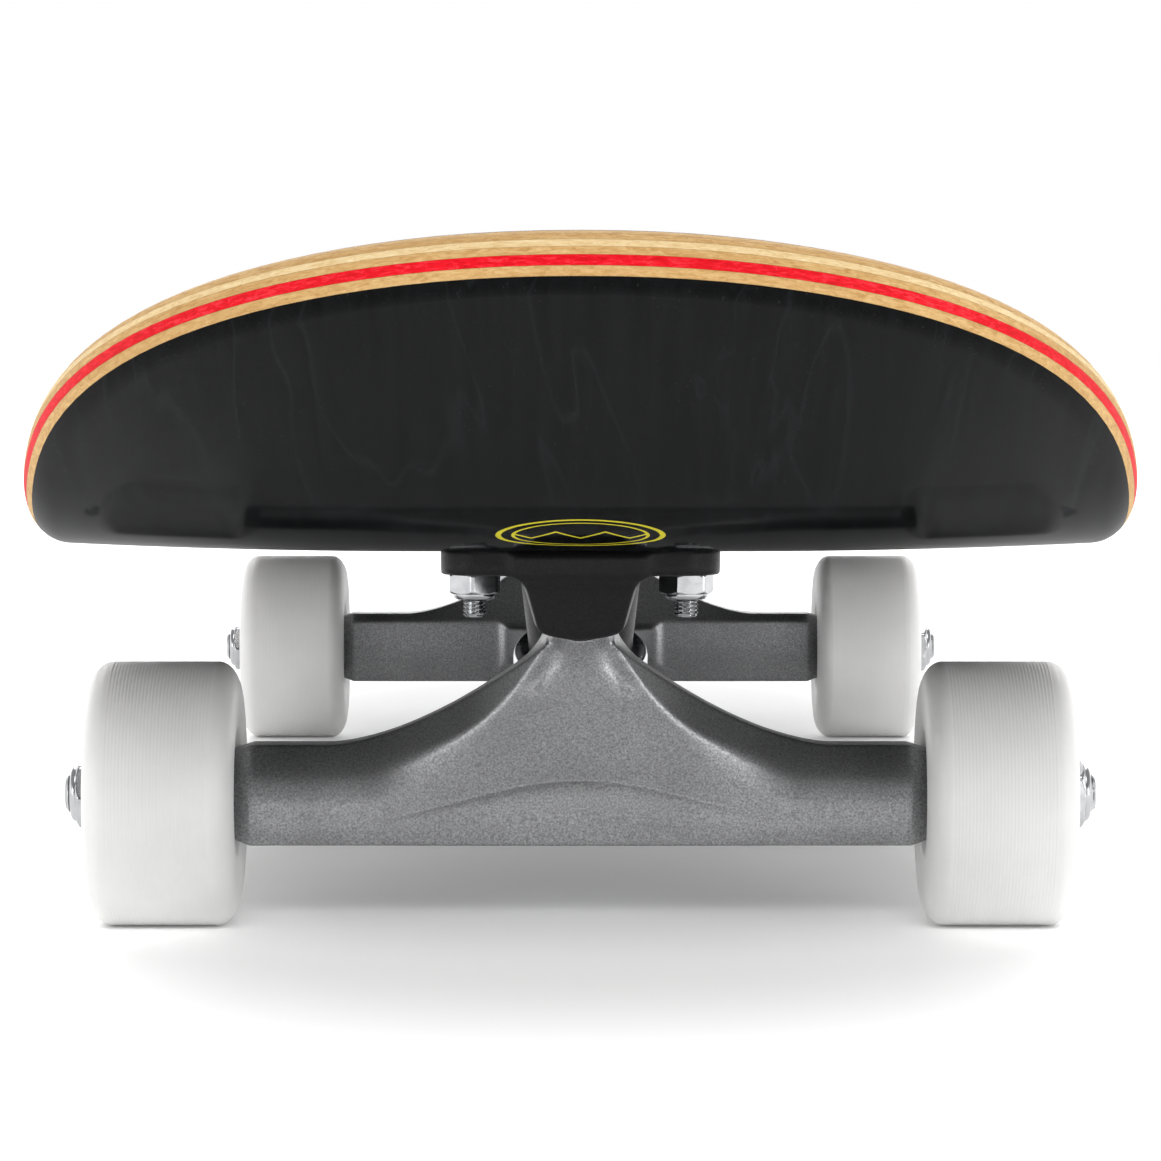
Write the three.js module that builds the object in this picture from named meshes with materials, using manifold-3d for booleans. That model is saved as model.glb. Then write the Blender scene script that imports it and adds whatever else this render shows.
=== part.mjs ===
// A street skateboard: a seven-ply maple deck with grip tape, two cast trucks and four urethane wheels.
// Millimetres. X runs across the board, Y along it with the nose towards -Y, and Z up from the ground.
import * as THREE from "three";
import { ConvexGeometry } from "three/addons/geometries/ConvexGeometry.js";
import { mergeVertices } from "three/addons/utils/BufferGeometryUtils.js";
import Module from "manifold-3d";

const wasm = await Module();
wasm.setup();

// ---- Driving dimensions -------------------------------------------------------------------------

const INCH = 25.4;
const DEG = Math.PI / 180;
const FIT = 0.05; // clearance between pieces that touch
const WHEEL_ROUND = 24; // sides of a wheel
const ROUND = 16; // sides of any other turned piece
const SMALL_ROUND = 12; // sides of a small turned piece

const AXLE_SPACING = 425.4;
const OVERALL_LENGTH = 32 * INCH;
const WHEEL_RADIUS = 26.5;

const DECK = {
  width: 204.2,
  taper: 167.8, // developed length over which each end narrows
  tipPower: 2.93, // how blunt the ends are, lengthwise
  sidePower: 2.13, // how blunt the ends are, sideways
  underside: 77.35, // height of the flat underside
  plies: [1.6, 1.4, 1.65, 1.4, 1.3, 1.25, 1.1], // from the underside up
  grip: 0.85,
  kickStart: 41.8, // from an axle outwards to the start of the bend
  kickRadius: 183.6,
  kickAngle: 22.25 * DEG,
  noseReach: 200, // from the front axle to the corner where underside and rim would meet
  flatHalf: 28, // the middle stays flat across, so that the trucks sit flush
  concave: 1.9, // rise of the rails above the middle
  lowerRound: 5.5, // rounding of the rim
  upperRound: 5.0,
};
// Height of the top of each ply above the underside, counted from 1, with 0 for the underside itself.
const plyTop = (number) => DECK.plies.slice(0, number).reduce((a, b) => a + b, 0);
DECK.thickness = plyTop(DECK.plies.length) + DECK.grip;

const BOLT = {
  across: 20.65, // half the spacing across the board
  along: 26.99, // half the spacing along it
  centre: 4.7, // the pattern's centre, from the axle towards the middle of the board
  radius: 2.41,
  hole: 2.75,
  headRadius: 4.6,
  headDepth: 2.6,
  countersink: 4.85, // radius of the hole's mouth
  tipChamfer: 0.5,
  nutAcross: 9.5,
  nutHeight: 5.3,
  threadBelowNut: 3.4,
};

// A truck's own frame has its origin at the middle of the axle, +Y towards the middle of the board.
const TRUCK = {
  deckAbove: DECK.underside - WHEEL_RADIUS,
  plateWidth: 54,
  plateOuter: -39,
  plateInner: 41,
  plateThickness: 5.2,
  plateCorner: 8,
  ringY: 32,
  ringZ: 9.5,
  kingpinLean: 25 * DEG,
  pivotY: -24,
  pivotZ: 42,
};
TRUCK.steerAngle = Math.atan2(TRUCK.pivotZ - TRUCK.ringZ, TRUCK.ringY - TRUCK.pivotY);
TRUCK.plateUnder = TRUCK.deckAbove - TRUCK.plateThickness;

// Heights along the kingpin from the middle of the hanger's ring, positive towards the board.
const STACK = {
  headTop: 42,
  headUnder: 36,
  bossUnder: 20,
  ring: 3,
  upperBushingTop: 18.6,
  lowerBushingUnder: -13.4,
  nutTop: -14.8,
  nutUnder: -22,
  end: -23.7,
};
const KINGPIN = { radius: 4.76, head: 7.1, pocket: 7.4, nutAcross: 14.29, chamfer: 0.8 };
const BUSHING = { radius: 12.2, corner: 0.8, cornerHeight: 1.2 };
const CUP = { radius: 13.8, shoulder: 1.4, thick: 1.35, depth: 4 };

// Lengths along the steering axis are from the middle of the pivot's ball, positive outwards.
const PIVOT = {
  nose: 3.9,
  noseStart: -7.6,
  neck: 6.7,
  neckStart: -34,
  neckEnd: -9.5,
  cupInner: 4.1,
  cupOuter: 5.8,
  cupLip: -6.5,
  cupFloor: 5.5,
  housing: 7.7,
  housingHalf: 6.8,
  housingLip: -6,
};

// Where the two raised parts of a baseplate meet its underside.
const FOOT = {
  pivotHalf: 10.5,
  pivotOuter: -37,
  pivotInner: -13,
  bossHalf: 12.5,
  bossOuter: 2,
  bossInner: 29,
};
const BOSS_RADIUS = 10.75;

const HANGER = {
  half: 70.2, // half its width
  endChamfer: 4.3,
  endHalf: 8.8, // half height of the chamfered end
  tube: 9.85, // half height of the arms
  facet: 4.15, // cut off each corner of the arms
  riseFrom: 50.3, // where the arms start to rise towards the neck
  neckHalf: 6.7,
  rise: 20.9,
  risePower: 1.65,
  archHalf: 40, // half the width of the arched crease low on the outer face
  archStart: 0.3,
  archRise: 7.3,
  faceForward: 4, // how the web differs from the arms at the neck
  faceRise: 8,
  crownBack: 12.3,
  backIn: 5,
  backRise: 6,
  ringRadius: 14.5,
  ringHole: 6.9,
  bushingRoom: 0.8, // clearance cut round each bushing
  yokeHalf: 24,
  yokeFrom: 8,
  yokeTop: 5,
  yokeUnder: -6,
};

const AXLE = { radius: 3.97, half: 103.2, nutStart: 96.2, nutAcross: 12.7, nutHeight: 6 };

const WHEEL = {
  centre: 83.2, // from the middle of the axle
  half: 14.95,
  treadHalf: 10.4,
  shoulder: 20, // radius where the wheel is widest
  mouth: 12.2,
  core: 9.5,
};
const BEARING = {
  outer: 11,
  outerRing: 9.4, // inside of the outer ring
  innerRing: 6.1,
  width: 7,
  shieldIn: 0.8, // how deep the shield lies
  spacer: 10,
  spacerRadius: 5.1,
  washer: 1,
};

// ---- Materials ----------------------------------------------------------------------------------

const surface = (color, roughness, metalness) =>
  new THREE.MeshStandardMaterial({ color, roughness, metalness });
const LOOK = {
  grip: surface(0x17171a, 0.95, 0),
  naturalPly: surface(0xdfb273, 0.5, 0),
  redPly: surface(0xd81c38, 0.5, 0),
  blackPly: surface(0x121214, 0.25, 0),
  plate: surface(0x141416, 0.35, 0.3),
  cast: surface(0x4b4d52, 0.45, 0.8),
  chrome: surface(0xd8dadd, 0.15, 1),
  steel: surface(0x9a9ca0, 0.3, 1),
  bushing: surface(0x1b1b1d, 0.55, 0),
  urethane: surface(0xf3f1ea, 0.4, 0),
};

// ---- Solids -------------------------------------------------------------------------------------

function solid(geometry) {
  const bare = new THREE.BufferGeometry();
  const source = geometry.index ? geometry.toNonIndexed() : geometry;
  bare.setAttribute("position", source.getAttribute("position"));
  const merged = mergeVertices(bare, 1e-4);
  return new wasm.Manifold(
    new wasm.Mesh({
      numProp: 3,
      vertProperties: merged.attributes.position.array,
      triVerts: new Uint32Array(merged.index.array),
    }),
  );
}

function geometryOf(manifold) {
  const { vertProperties, triVerts } = manifold.getMesh();
  const geometry = new THREE.BufferGeometry();
  geometry.setAttribute("position", new THREE.BufferAttribute(vertProperties, 3));
  geometry.setIndex(new THREE.BufferAttribute(triVerts, 1));
  return geometry;
}

const join = (...shapes) => geometryOf(shapes.map(solid).reduce((a, b) => a.add(b)));
const cut = (shape, ...tools) => geometryOf(tools.map(solid).reduce((a, b) => a.subtract(b), solid(shape)));

// A body turned about +Y from the [radius, height] corners of its section, in either order.
function turned(section, sides = ROUND) {
  const corners = section.map(([radius, height]) => new THREE.Vector2(radius, height));
  if (THREE.ShapeUtils.area(corners) < 0) corners.reverse();
  const onAxis = corners[0].x === 0 && corners.at(-1).x === 0;
  if (!onAxis) corners.push(corners[0].clone());
  return new THREE.LatheGeometry(corners, sides, Math.PI / sides);
}

const cylinder = (radius, from, to, sides = ROUND) =>
  turned([[0, from], [radius, from], [radius, to], [0, to]], sides);

// A straight body along +Z whose outline is given in X and Y.
function slab(outline, from, to) {
  const geometry = new THREE.ExtrudeGeometry(outline, {
    depth: to - from,
    bevelEnabled: false,
    curveSegments: 4,
  });
  return geometry.translate(0, 0, from);
}

function roundedRectangle(x0, y0, x1, y1, radius) {
  const shape = new THREE.Shape();
  shape.moveTo(x0 + radius, y0);
  shape.absarc(x1 - radius, y0 + radius, radius, -Math.PI / 2, 0);
  shape.absarc(x1 - radius, y1 - radius, radius, 0, Math.PI / 2);
  shape.absarc(x0 + radius, y1 - radius, radius, Math.PI / 2, Math.PI);
  shape.absarc(x0 + radius, y0 + radius, radius, Math.PI, 1.5 * Math.PI);
  return shape;
}

// A lock nut about +Y: a hexagon with a round collar on top.
function lockNut(acrossFlats, height, bore, boreSides = ROUND) {
  const hexagon = new THREE.CylinderGeometry(1, 1, 0.72 * height, 6);
  const corner = acrossFlats / 2 / Math.cos(30 * DEG);
  hexagon.scale(corner, 1, corner).translate(0, 0.36 * height, 0);
  const collar = turned(
    [
      [0, 0.3 * height],
      [0.46 * acrossFlats, 0.3 * height],
      [0.46 * acrossFlats, 0.85 * height],
      [0.4 * acrossFlats, height],
      [0, height],
    ],
    SMALL_ROUND,
  );
  return cut(join(hexagon, collar), cylinder(bore, -1, height + 1, boreSides));
}

function mesh(name, geometry, material, placing) {
  const piece = new THREE.Mesh(geometry, material);
  piece.name = name;
  if (placing) piece.applyMatrix4(placing);
  return piece;
}

// ---- Deck ---------------------------------------------------------------------------------------

// How far the rim lies inside the outline at a height above the underside.
function rimInset(height) {
  const below = DECK.lowerRound - height;
  const above = height - (DECK.thickness - DECK.upperRound);
  if (below > 0) return DECK.lowerRound - Math.sqrt(DECK.lowerRound ** 2 - below ** 2);
  if (above > 0) return DECK.upperRound - Math.sqrt(DECK.upperRound ** 2 - above ** 2);
  return 0;
}

// The kick's straight stretch starts this far out from the axle.
const kickArc = DECK.kickRadius * DECK.kickAngle;
const kickOut = DECK.kickStart + DECK.kickRadius * Math.sin(DECK.kickAngle);

// A tip leans back as it goes up, so it reaches furthest out part of the way up its rim.
function tipReach(reach) {
  const steps = [...DECK.plies.keys()].map(plyTop);
  const backs = steps.map(
    (h) => h * Math.sin(DECK.kickAngle) + rimInset(h) * Math.cos(DECK.kickAngle),
  );
  return reach - Math.min(...backs);
}

const noseTip = tipReach(DECK.noseReach);
const tailTip = OVERALL_LENGTH - AXLE_SPACING - noseTip;
const ENDS = [
  { name: "front", side: -1, reach: DECK.noseReach, axle: noseTip - OVERALL_LENGTH / 2 },
  {
    name: "rear",
    side: 1,
    reach: DECK.noseReach + tailTip - noseTip,
    axle: OVERALL_LENGTH / 2 - tailTip,
  },
];

// The point of the bent deck at x across, s out from the axle along the deck, and a height above
// its underside.
function deckPoint(end, x, s, height) {
  const bent = Math.min(Math.max(s - DECK.kickStart, 0), kickArc);
  const angle = bent / DECK.kickRadius;
  const straight = Math.max(s - DECK.kickStart - kickArc, 0);
  const level = Math.min(s, DECK.kickStart);
  const out = level + DECK.kickRadius * Math.sin(angle) + straight * Math.cos(angle);
  const up = DECK.kickRadius * (1 - Math.cos(angle)) + straight * Math.sin(angle);
  const rail = Math.max((Math.abs(x) - DECK.flatHalf) / (DECK.width / 2 - DECK.flatHalf), 0);
  const h = height + DECK.concave * rail * rail;
  const along = end.axle + end.side * (out - h * Math.sin(angle));
  return [x, along, DECK.underside + up + h * Math.cos(angle)];
}

// The rows of one end from its tip inwards: half width, place along the deck and the inward direction.
function outlineRows(end) {
  const fine = 9;
  const blunt = [...Array(7).keys()].map((i) => (i / fine) * (Math.PI / 2));
  const inward = (turn) => DECK.taper * (1 - Math.cos(turn) ** (2 / DECK.tipPower));
  const sigmas = blunt.map(inward);
  const last = sigmas.at(-1);
  const bends = 5;
  for (let i = 1; i <= bends; i++) sigmas.push(last + ((DECK.taper - last) * i) / bends);
  const total = DECK.kickStart + kickArc + (end.reach - kickOut) / Math.cos(DECK.kickAngle);
  return sigmas.map((sigma, i) => {
    const left = Math.max(1 - sigma / DECK.taper, 0);
    const turn = Math.acos(Math.min(left ** (DECK.tipPower / 2), 1));
    const half = (DECK.width / 2) * Math.sin(turn) ** (2 / DECK.sidePower);
    const along = left ** (DECK.tipPower - 1) * DECK.tipPower;
    const across = (2 / DECK.width) ** DECK.sidePower * DECK.sidePower * half ** (DECK.sidePower - 1);
    const normal = new THREE.Vector2(across, along / DECK.taper).normalize();
    if (i === 0) normal.set(0, 1);
    return { end, half, s: total - sigma, normal };
  });
}

const deckRows = [...outlineRows(ENDS[0]), ...outlineRows(ENDS[1]).reverse()];

// One layer of the deck between two heights, its rim following the rounding at each of the levels.
function deckLayer(levels) {
  const across = 3;
  const positions = [];
  const faces = [];
  const points = new Map();
  const vertex = (level, row, column) => {
    const { end, half, s, normal } = deckRows[row];
    const inset = rimInset(levels[level]);
    const rim = Math.max(half - inset * normal.x, 0);
    const flat = Math.min(DECK.flatHalf, 0.5 * rim);
    const step = Math.abs(column) - 1;
    const x = column === 0 ? 0 : flat + ((rim - flat) * step) / (across - 1);
    const point = deckPoint(end, Math.sign(column) * x, s - inset * normal.y, levels[level]);
    const key = point.map((v) => v.toFixed(3)).join();
    if (!points.has(key)) {
      points.set(key, positions.length / 3);
      positions.push(...point);
    }
    return points.get(key);
  };
  const quad = (a, b, c, d) => {
    for (const face of [[a, b, c], [a, c, d]]) {
      if (new Set(face).size === 3) faces.push(...face);
    }
  };
  const top = levels.length - 1;
  for (let row = 0; row < deckRows.length - 1; row++) {
    for (let column = -across; column < across; column++) {
      const corners = (level) => [
        vertex(level, row, column),
        vertex(level, row, column + 1),
        vertex(level, row + 1, column + 1),
        vertex(level, row + 1, column),
      ];
      const [a, b, c, d] = corners(0);
      quad(...corners(top));
      quad(a, d, c, b);
    }
    for (let level = 0; level < top; level++) {
      for (const side of [-across, across]) {
        const wall = [
          vertex(level, row, side),
          vertex(level, row + 1, side),
          vertex(level + 1, row + 1, side),
          vertex(level + 1, row, side),
        ];
        quad(...(side > 0 ? wall : wall.reverse()));
      }
    }
  }
  const geometry = new THREE.BufferGeometry();
  geometry.setAttribute("position", new THREE.Float32BufferAttribute(positions, 3));
  geometry.setIndex(faces);
  return geometry;
}

const boltPlaces = ENDS.flatMap((end) =>
  [-1, 1].flatMap((along) =>
    [-1, 1].map((across) => ({
      end,
      name: `${end.name}_${along < 0 ? "outer" : "inner"}_${across < 0 ? "left" : "right"}`,
      x: across * BOLT.across,
      y: end.axle - end.side * (BOLT.centre + along * BOLT.along),
    })),
  ),
);

// Turned about the vertical at each mounting bolt, from a profile in heights above the ground.
function atBolts(profile) {
  return boltPlaces.map(({ x, y }) =>
    turned(profile, SMALL_ROUND).rotateX(Math.PI / 2).translate(x, y, 0),
  );
}

const layerTop = DECK.underside + DECK.thickness;
const headUnder = layerTop - BOLT.headDepth;

function drilledLayer(levels) {
  const bottom = DECK.underside - 1;
  const countersink = [
    [0, bottom],
    [BOLT.hole, bottom],
    [BOLT.hole, headUnder - 0.1],
    [BOLT.countersink, layerTop],
    [BOLT.countersink, layerTop + 1],
    [0, layerTop + 1],
  ];
  return cut(deckLayer(levels), ...atBolts(countersink));
}

function deck() {
  const glue = FIT / 2;
  const firstLevel = 0.4; // the rim curves in fastest near the underside
  const lower = [0, firstLevel, plyTop(1), plyTop(2) - glue];
  const red = [plyTop(2) + glue, plyTop(3) - glue];
  const upper = [plyTop(3) + glue, plyTop(5), plyTop(6), plyTop(7) - glue];
  const grip = [plyTop(7) + glue, DECK.thickness];
  return [
    mesh("deck_lower_plies", drilledLayer(lower), LOOK.blackPly),
    mesh("deck_red_ply", drilledLayer(red), LOOK.redPly),
    mesh("deck_upper_plies", drilledLayer(upper), LOOK.naturalPly),
    mesh("grip_tape", drilledLayer(grip), LOOK.grip),
  ];
}

// ---- Mounting hardware --------------------------------------------------------------------------

function mountingHardware() {
  const nutTop = WHEEL_RADIUS + TRUCK.plateUnder - FIT;
  const end = nutTop - BOLT.nutHeight - BOLT.threadBelowNut;
  const bolt = turned(
    [
      [0, end],
      [BOLT.radius - BOLT.tipChamfer, end],
      [BOLT.radius, end + BOLT.tipChamfer],
      [BOLT.radius, headUnder],
      [BOLT.headRadius, layerTop - 0.1],
      [0, layerTop - 0.1],
    ],
    SMALL_ROUND,
  );
  const nut = lockNut(BOLT.nutAcross, BOLT.nutHeight, BOLT.radius + FIT, SMALL_ROUND);
  return boltPlaces.flatMap(({ name, x, y }) => {
    const upright = new THREE.Matrix4().makeRotationX(Math.PI / 2).setPosition(x, y, 0);
    const hanging = new THREE.Matrix4().makeRotationX(-Math.PI / 2).setPosition(x, y, nutTop);
    return [
      mesh(`bolt_${name}`, bolt, LOOK.chrome, upright),
      mesh(`nut_${name}`, nut, LOOK.chrome, hanging),
    ];
  });
}

// ---- Trucks -------------------------------------------------------------------------------------

// +Y of these frames runs up the kingpin towards the board, out along the steering axis past the
// pivot, and along the axle.
const alongKingpin = new THREE.Matrix4()
  .makeRotationX(Math.PI / 2 + TRUCK.kingpinLean)
  .setPosition(0, TRUCK.ringY, TRUCK.ringZ);
const alongSteering = new THREE.Matrix4()
  .makeRotationX(Math.PI - TRUCK.steerAngle)
  .setPosition(0, TRUCK.pivotY, TRUCK.pivotZ);
const alongAxle = new THREE.Matrix4().makeRotationZ(-Math.PI / 2);

// Points of a circle about +Y of a placing.
function ringPoints(placing, radius, height) {
  return [...Array(ROUND).keys()].map((i) => {
    const turn = ((i + 0.5) * 2 * Math.PI) / ROUND;
    const point = new THREE.Vector3(radius * Math.cos(turn), height, radius * Math.sin(turn));
    return point.applyMatrix4(placing);
  });
}

const onBothSides = (list) =>
  list.flatMap(([x, y, z]) => [new THREE.Vector3(x, y, z), new THREE.Vector3(-x, y, z)]);

function baseplate() {
  const { plateUnder, plateOuter, plateInner, plateWidth, plateCorner } = TRUCK;
  const top = TRUCK.deckAbove - FIT;
  const right = plateWidth / 2;
  const outline = roundedRectangle(-right, plateOuter, right, plateInner, plateCorner);
  const plate = slab(outline, plateUnder, top);
  const inPlate = plateUnder + 1;
  const housing = new ConvexGeometry([
    ...onBothSides([
      [FOOT.pivotHalf, FOOT.pivotOuter, inPlate],
      [FOOT.pivotHalf, FOOT.pivotInner, inPlate],
    ]),
    ...ringPoints(alongSteering, PIVOT.housing, PIVOT.housingHalf),
    ...ringPoints(alongSteering, PIVOT.housing, PIVOT.housingLip),
  ]);
  const boss = new ConvexGeometry([
    ...ringPoints(alongKingpin, BOSS_RADIUS, STACK.bossUnder + FIT),
    ...onBothSides([
      [FOOT.bossHalf, FOOT.bossOuter, inPlate],
      [FOOT.bossHalf, FOOT.bossInner, inPlate],
    ]),
  ]);
  const beyond = 20; // how far each cutting tool runs past the piece
  const around = roundedRectangle(-plateWidth, 2 * plateOuter, plateWidth, 2 * plateInner, plateCorner);
  const abovePlate = slab(around, top, top + beyond);
  const holes = [-1, 1].flatMap((along) =>
    [-1, 1].map((across) =>
      cylinder(BOLT.hole, plateUnder - beyond, top + beyond, SMALL_ROUND)
        .rotateX(Math.PI / 2)
        .translate(across * BOLT.across, BOLT.centre + along * BOLT.along, 0),
    ),
  );
  return cut(
    join(plate, housing, boss),
    cylinder(PIVOT.cupOuter + FIT, -beyond, PIVOT.cupFloor).applyMatrix4(alongSteering),
    cylinder(KINGPIN.radius + FIT, 0, STACK.headTop).applyMatrix4(alongKingpin),
    cylinder(KINGPIN.pocket, STACK.headUnder, STACK.headTop + beyond).applyMatrix4(alongKingpin),
    abovePlate,
    ...holes,
  );
}

function pivotCup() {
  const { cupInner, cupOuter, cupLip } = PIVOT;
  const floor = PIVOT.cupFloor - FIT;
  const steps = 4;
  const bowl = [...Array(steps).keys()].map((i) => {
    const turn = (i / steps) * (Math.PI / 2);
    return [cupInner * Math.sin(turn), cupInner * Math.cos(turn)];
  });
  return turned([
    ...bowl,
    [cupInner, 0],
    [cupInner, cupLip],
    [cupOuter, cupLip],
    [cupOuter, floor],
    [0, floor],
  ]);
}

function kingpin() {
  const { radius, head, chamfer } = KINGPIN;
  return turned([
    [0, STACK.end],
    [radius - chamfer, STACK.end],
    [radius, STACK.end + chamfer],
    [radius, STACK.headUnder + FIT],
    [head, STACK.headUnder + FIT],
    [head, STACK.headTop - chamfer],
    [head - chamfer, STACK.headTop],
    [0, STACK.headTop],
  ]);
}

// A pressed washer that caps a bushing: its skirt runs from the flat towards the hanger's ring.
function cupWasher(flat, direction) {
  const { radius, shoulder, thick, depth } = CUP;
  const bore = KINGPIN.radius + FIT;
  const inside = BUSHING.radius + FIT;
  const profile = [
    [bore, 0],
    [radius - shoulder, 0],
    [radius, shoulder],
    [radius, depth],
    [inside, depth],
    [inside, thick],
    [bore, thick],
  ];
  return turned(profile.map(([across, down]) => [across, flat - direction * down]));
}

// A urethane bushing from the face that seats on the ring to its far face, its edges chamfered.
function bushing(seat, far) {
  const { radius, corner, cornerHeight } = BUSHING;
  const lift = Math.sign(far - seat) * cornerHeight;
  const bore = KINGPIN.radius + 2 * FIT;
  return turned([
    [bore, seat],
    [radius - corner, seat],
    [radius, seat + lift],
    [radius, far - lift],
    [radius - corner, far],
    [bore, far],
  ]);
}

const smooth = (t) => t * t * (3 - 2 * t);

// The hanger's outline in Y and Z at a distance from its middle, going round its near, board and far sides.
function hangerSection(x) {
  const { half, endChamfer, endHalf, riseFrom, neckHalf, rise, risePower } = HANGER;
  const { archHalf, archStart, archRise, faceForward, faceRise, crownBack, backIn, backRise } = HANGER;
  const chamfer = Math.max((x - (half - endChamfer)) / endChamfer, 0);
  const size = HANGER.tube + (endHalf - HANGER.tube) * chamfer;
  const corner = size - HANGER.facet;
  const up = Math.min(Math.max((riseFrom - x) / (riseFrom - neckHalf), 0), 1) ** risePower;
  const arch = smooth(Math.max(1 - x / archHalf, 0));
  return [
    [-corner, -size],
    [-size, -corner],
    [-size, -corner + archStart + archRise * arch],
    [-size - faceForward * up, corner + faceRise * up],
    [-corner - crownBack * up, size + rise * up],
    [corner - backIn * up, size + rise * up],
    [size, corner + backRise * up],
    [size, -corner],
    [corner, -size],
  ];
}

// A body along X from one section at each station.
function lofted(stations, section) {
  const rings = stations.map((x) => section(Math.abs(x)).map(([y, z]) => [x, y, z]));
  const count = rings[0].length;
  const faces = [];
  for (let i = 0; i < rings.length - 1; i++) {
    for (let j = 0; j < count; j++) {
      const k = (j + 1) % count;
      const [here, next] = [i * count, (i + 1) * count];
      faces.push(here + j, next + k, here + k);
      faces.push(here + j, next + j, next + k);
    }
  }
  const last = (rings.length - 1) * count;
  for (let j = 1; j < count - 1; j++) {
    faces.push(0, j, j + 1);
    faces.push(last, last + j + 1, last + j);
  }
  const geometry = new THREE.BufferGeometry();
  geometry.setAttribute("position", new THREE.Float32BufferAttribute(rings.flat(2), 3));
  geometry.setIndex(faces);
  return geometry;
}

function hanger() {
  const { half, endChamfer, riseFrom, neckHalf, ringRadius, ringHole } = HANGER;
  const { yokeHalf, yokeFrom, yokeTop, yokeUnder } = HANGER;
  const steps = 6;
  const web = [...Array(steps).keys()].map((i) => neckHalf + ((riseFrom - neckHalf) * i) / steps);
  const places = [...web, riseFrom, half - endChamfer, half];
  const stations = [...places.map((x) => -x).reverse(), ...places];
  const body = lofted(stations, hangerSection);
  const ball = PIVOT.nose * Math.cos(45 * DEG);
  const nose = turned([
    [0, PIVOT.neckStart],
    [PIVOT.neck, PIVOT.neckStart],
    [PIVOT.neck, PIVOT.neckEnd],
    [PIVOT.nose, PIVOT.noseStart],
    [PIVOT.nose, 0],
    [ball, ball],
    [0, PIVOT.nose],
  ]).applyMatrix4(alongSteering);
  const yoke = new ConvexGeometry([
    ...ringPoints(alongKingpin, ringRadius, STACK.ring),
    ...ringPoints(alongKingpin, ringRadius, -STACK.ring),
    ...onBothSides([
      [yokeHalf, yokeFrom, yokeTop],
      [yokeHalf, yokeFrom, yokeUnder],
    ]),
  ]);
  const aroundBushing = BUSHING.radius + HANGER.bushingRoom;
  const reach = -STACK.end;
  return cut(
    join(body, nose, yoke),
    cylinder(ringHole, -reach, reach).applyMatrix4(alongKingpin),
    cylinder(aroundBushing, STACK.ring, reach).applyMatrix4(alongKingpin),
    cylinder(aroundBushing, -reach, -STACK.ring).applyMatrix4(alongKingpin),
    cylinder(AXLE.radius + FIT, -AXLE.half, AXLE.half).applyMatrix4(alongAxle),
  );
}

function truck(end) {
  const group = new THREE.Group();
  const named = (name) => `${end.name}_${name}`;
  group.position.set(0, end.axle, WHEEL_RADIUS);
  if (end.side > 0) group.rotation.z = Math.PI;
  const nutHeight = STACK.nutTop - STACK.nutUnder;
  const nut = lockNut(KINGPIN.nutAcross, nutHeight, KINGPIN.radius + FIT);
  nut.rotateX(Math.PI).translate(0, STACK.nutTop - FIT, 0);
  const ringTop = STACK.ring + FIT;
  const pieces = [
    ["baseplate", baseplate(), LOOK.plate],
    ["pivot_cup", pivotCup(), LOOK.bushing, alongSteering],
    ["kingpin", kingpin(), LOOK.steel, alongKingpin],
    ["kingpin_nut", nut, LOOK.steel, alongKingpin],
    ["upper_washer", cupWasher(STACK.bossUnder, 1), LOOK.chrome, alongKingpin],
    ["lower_washer", cupWasher(STACK.nutTop, -1), LOOK.chrome, alongKingpin],
    ["upper_bushing", bushing(ringTop, STACK.upperBushingTop), LOOK.bushing, alongKingpin],
    ["lower_bushing", bushing(-ringTop, STACK.lowerBushingUnder), LOOK.bushing, alongKingpin],
    ["hanger", hanger(), LOOK.cast],
    ["axle", cylinder(AXLE.radius, -AXLE.half, AXLE.half), LOOK.steel, alongAxle],
  ];
  for (const [name, geometry, material, placing] of pieces) {
    group.add(mesh(named(name), geometry, material, placing));
  }
  return group;
}

// ---- Wheels -------------------------------------------------------------------------------------

// The wheel's flats touch the true round, so that it stands on a flat at its full radius.
const wheelFlats = 1 / Math.cos(Math.PI / WHEEL_ROUND);

function wheel() {
  const { half, treadHalf, shoulder, mouth, core } = WHEEL;
  const bearingEnd = BEARING.spacer / 2;
  const seat = BEARING.outer / wheelFlats + 2 * FIT;
  const bearingFace = bearingEnd + BEARING.width + BEARING.washer;
  const mouthDepth = 0.7;
  const corner = [1, 2].map((i) => {
    const turn = (i / 3) * (Math.PI / 2);
    const out = treadHalf + (half - treadHalf) * Math.cos(turn);
    return [shoulder + (WHEEL_RADIUS - shoulder) * Math.sin(turn), out];
  });
  const side = [
    [core, bearingEnd],
    [seat, bearingEnd],
    [seat, bearingFace],
    [mouth, half - mouthDepth],
    [shoulder, half],
    ...corner,
    [WHEEL_RADIUS, treadHalf],
  ];
  const mirrored = side.map(([radius, out]) => [radius, -out]);
  const profile = [...side.reverse(), ...mirrored];
  return turned(profile.map(([radius, out]) => [radius * wheelFlats, out]), WHEEL_ROUND);
}

function bearing(from, to) {
  const shield = to - Math.sign(to - from) * BEARING.shieldIn;
  const outside = BEARING.outer - FIT;
  const inside = BEARING.innerRing + 0.3;
  return turned([
    [BEARING.outerRing, from],
    [outside, from],
    [outside, to],
    [inside, to],
    [inside, shield],
    [BEARING.outerRing, shield],
  ]);
}

// The two inner rings, the spacer between them and the two washers, clamped as one on the axle.
function innerSleeve() {
  const bore = AXLE.radius + FIT;
  const ringStart = BEARING.spacer / 2;
  const washerEnd = ringStart + BEARING.width + BEARING.washer - FIT;
  const half = [
    [BEARING.spacerRadius, ringStart],
    [BEARING.innerRing, ringStart],
    [BEARING.innerRing, washerEnd],
    [bore, washerEnd],
  ];
  const mirrored = half.map(([radius, out]) => [radius, -out]).reverse();
  return turned([...mirrored, ...half]);
}

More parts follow.
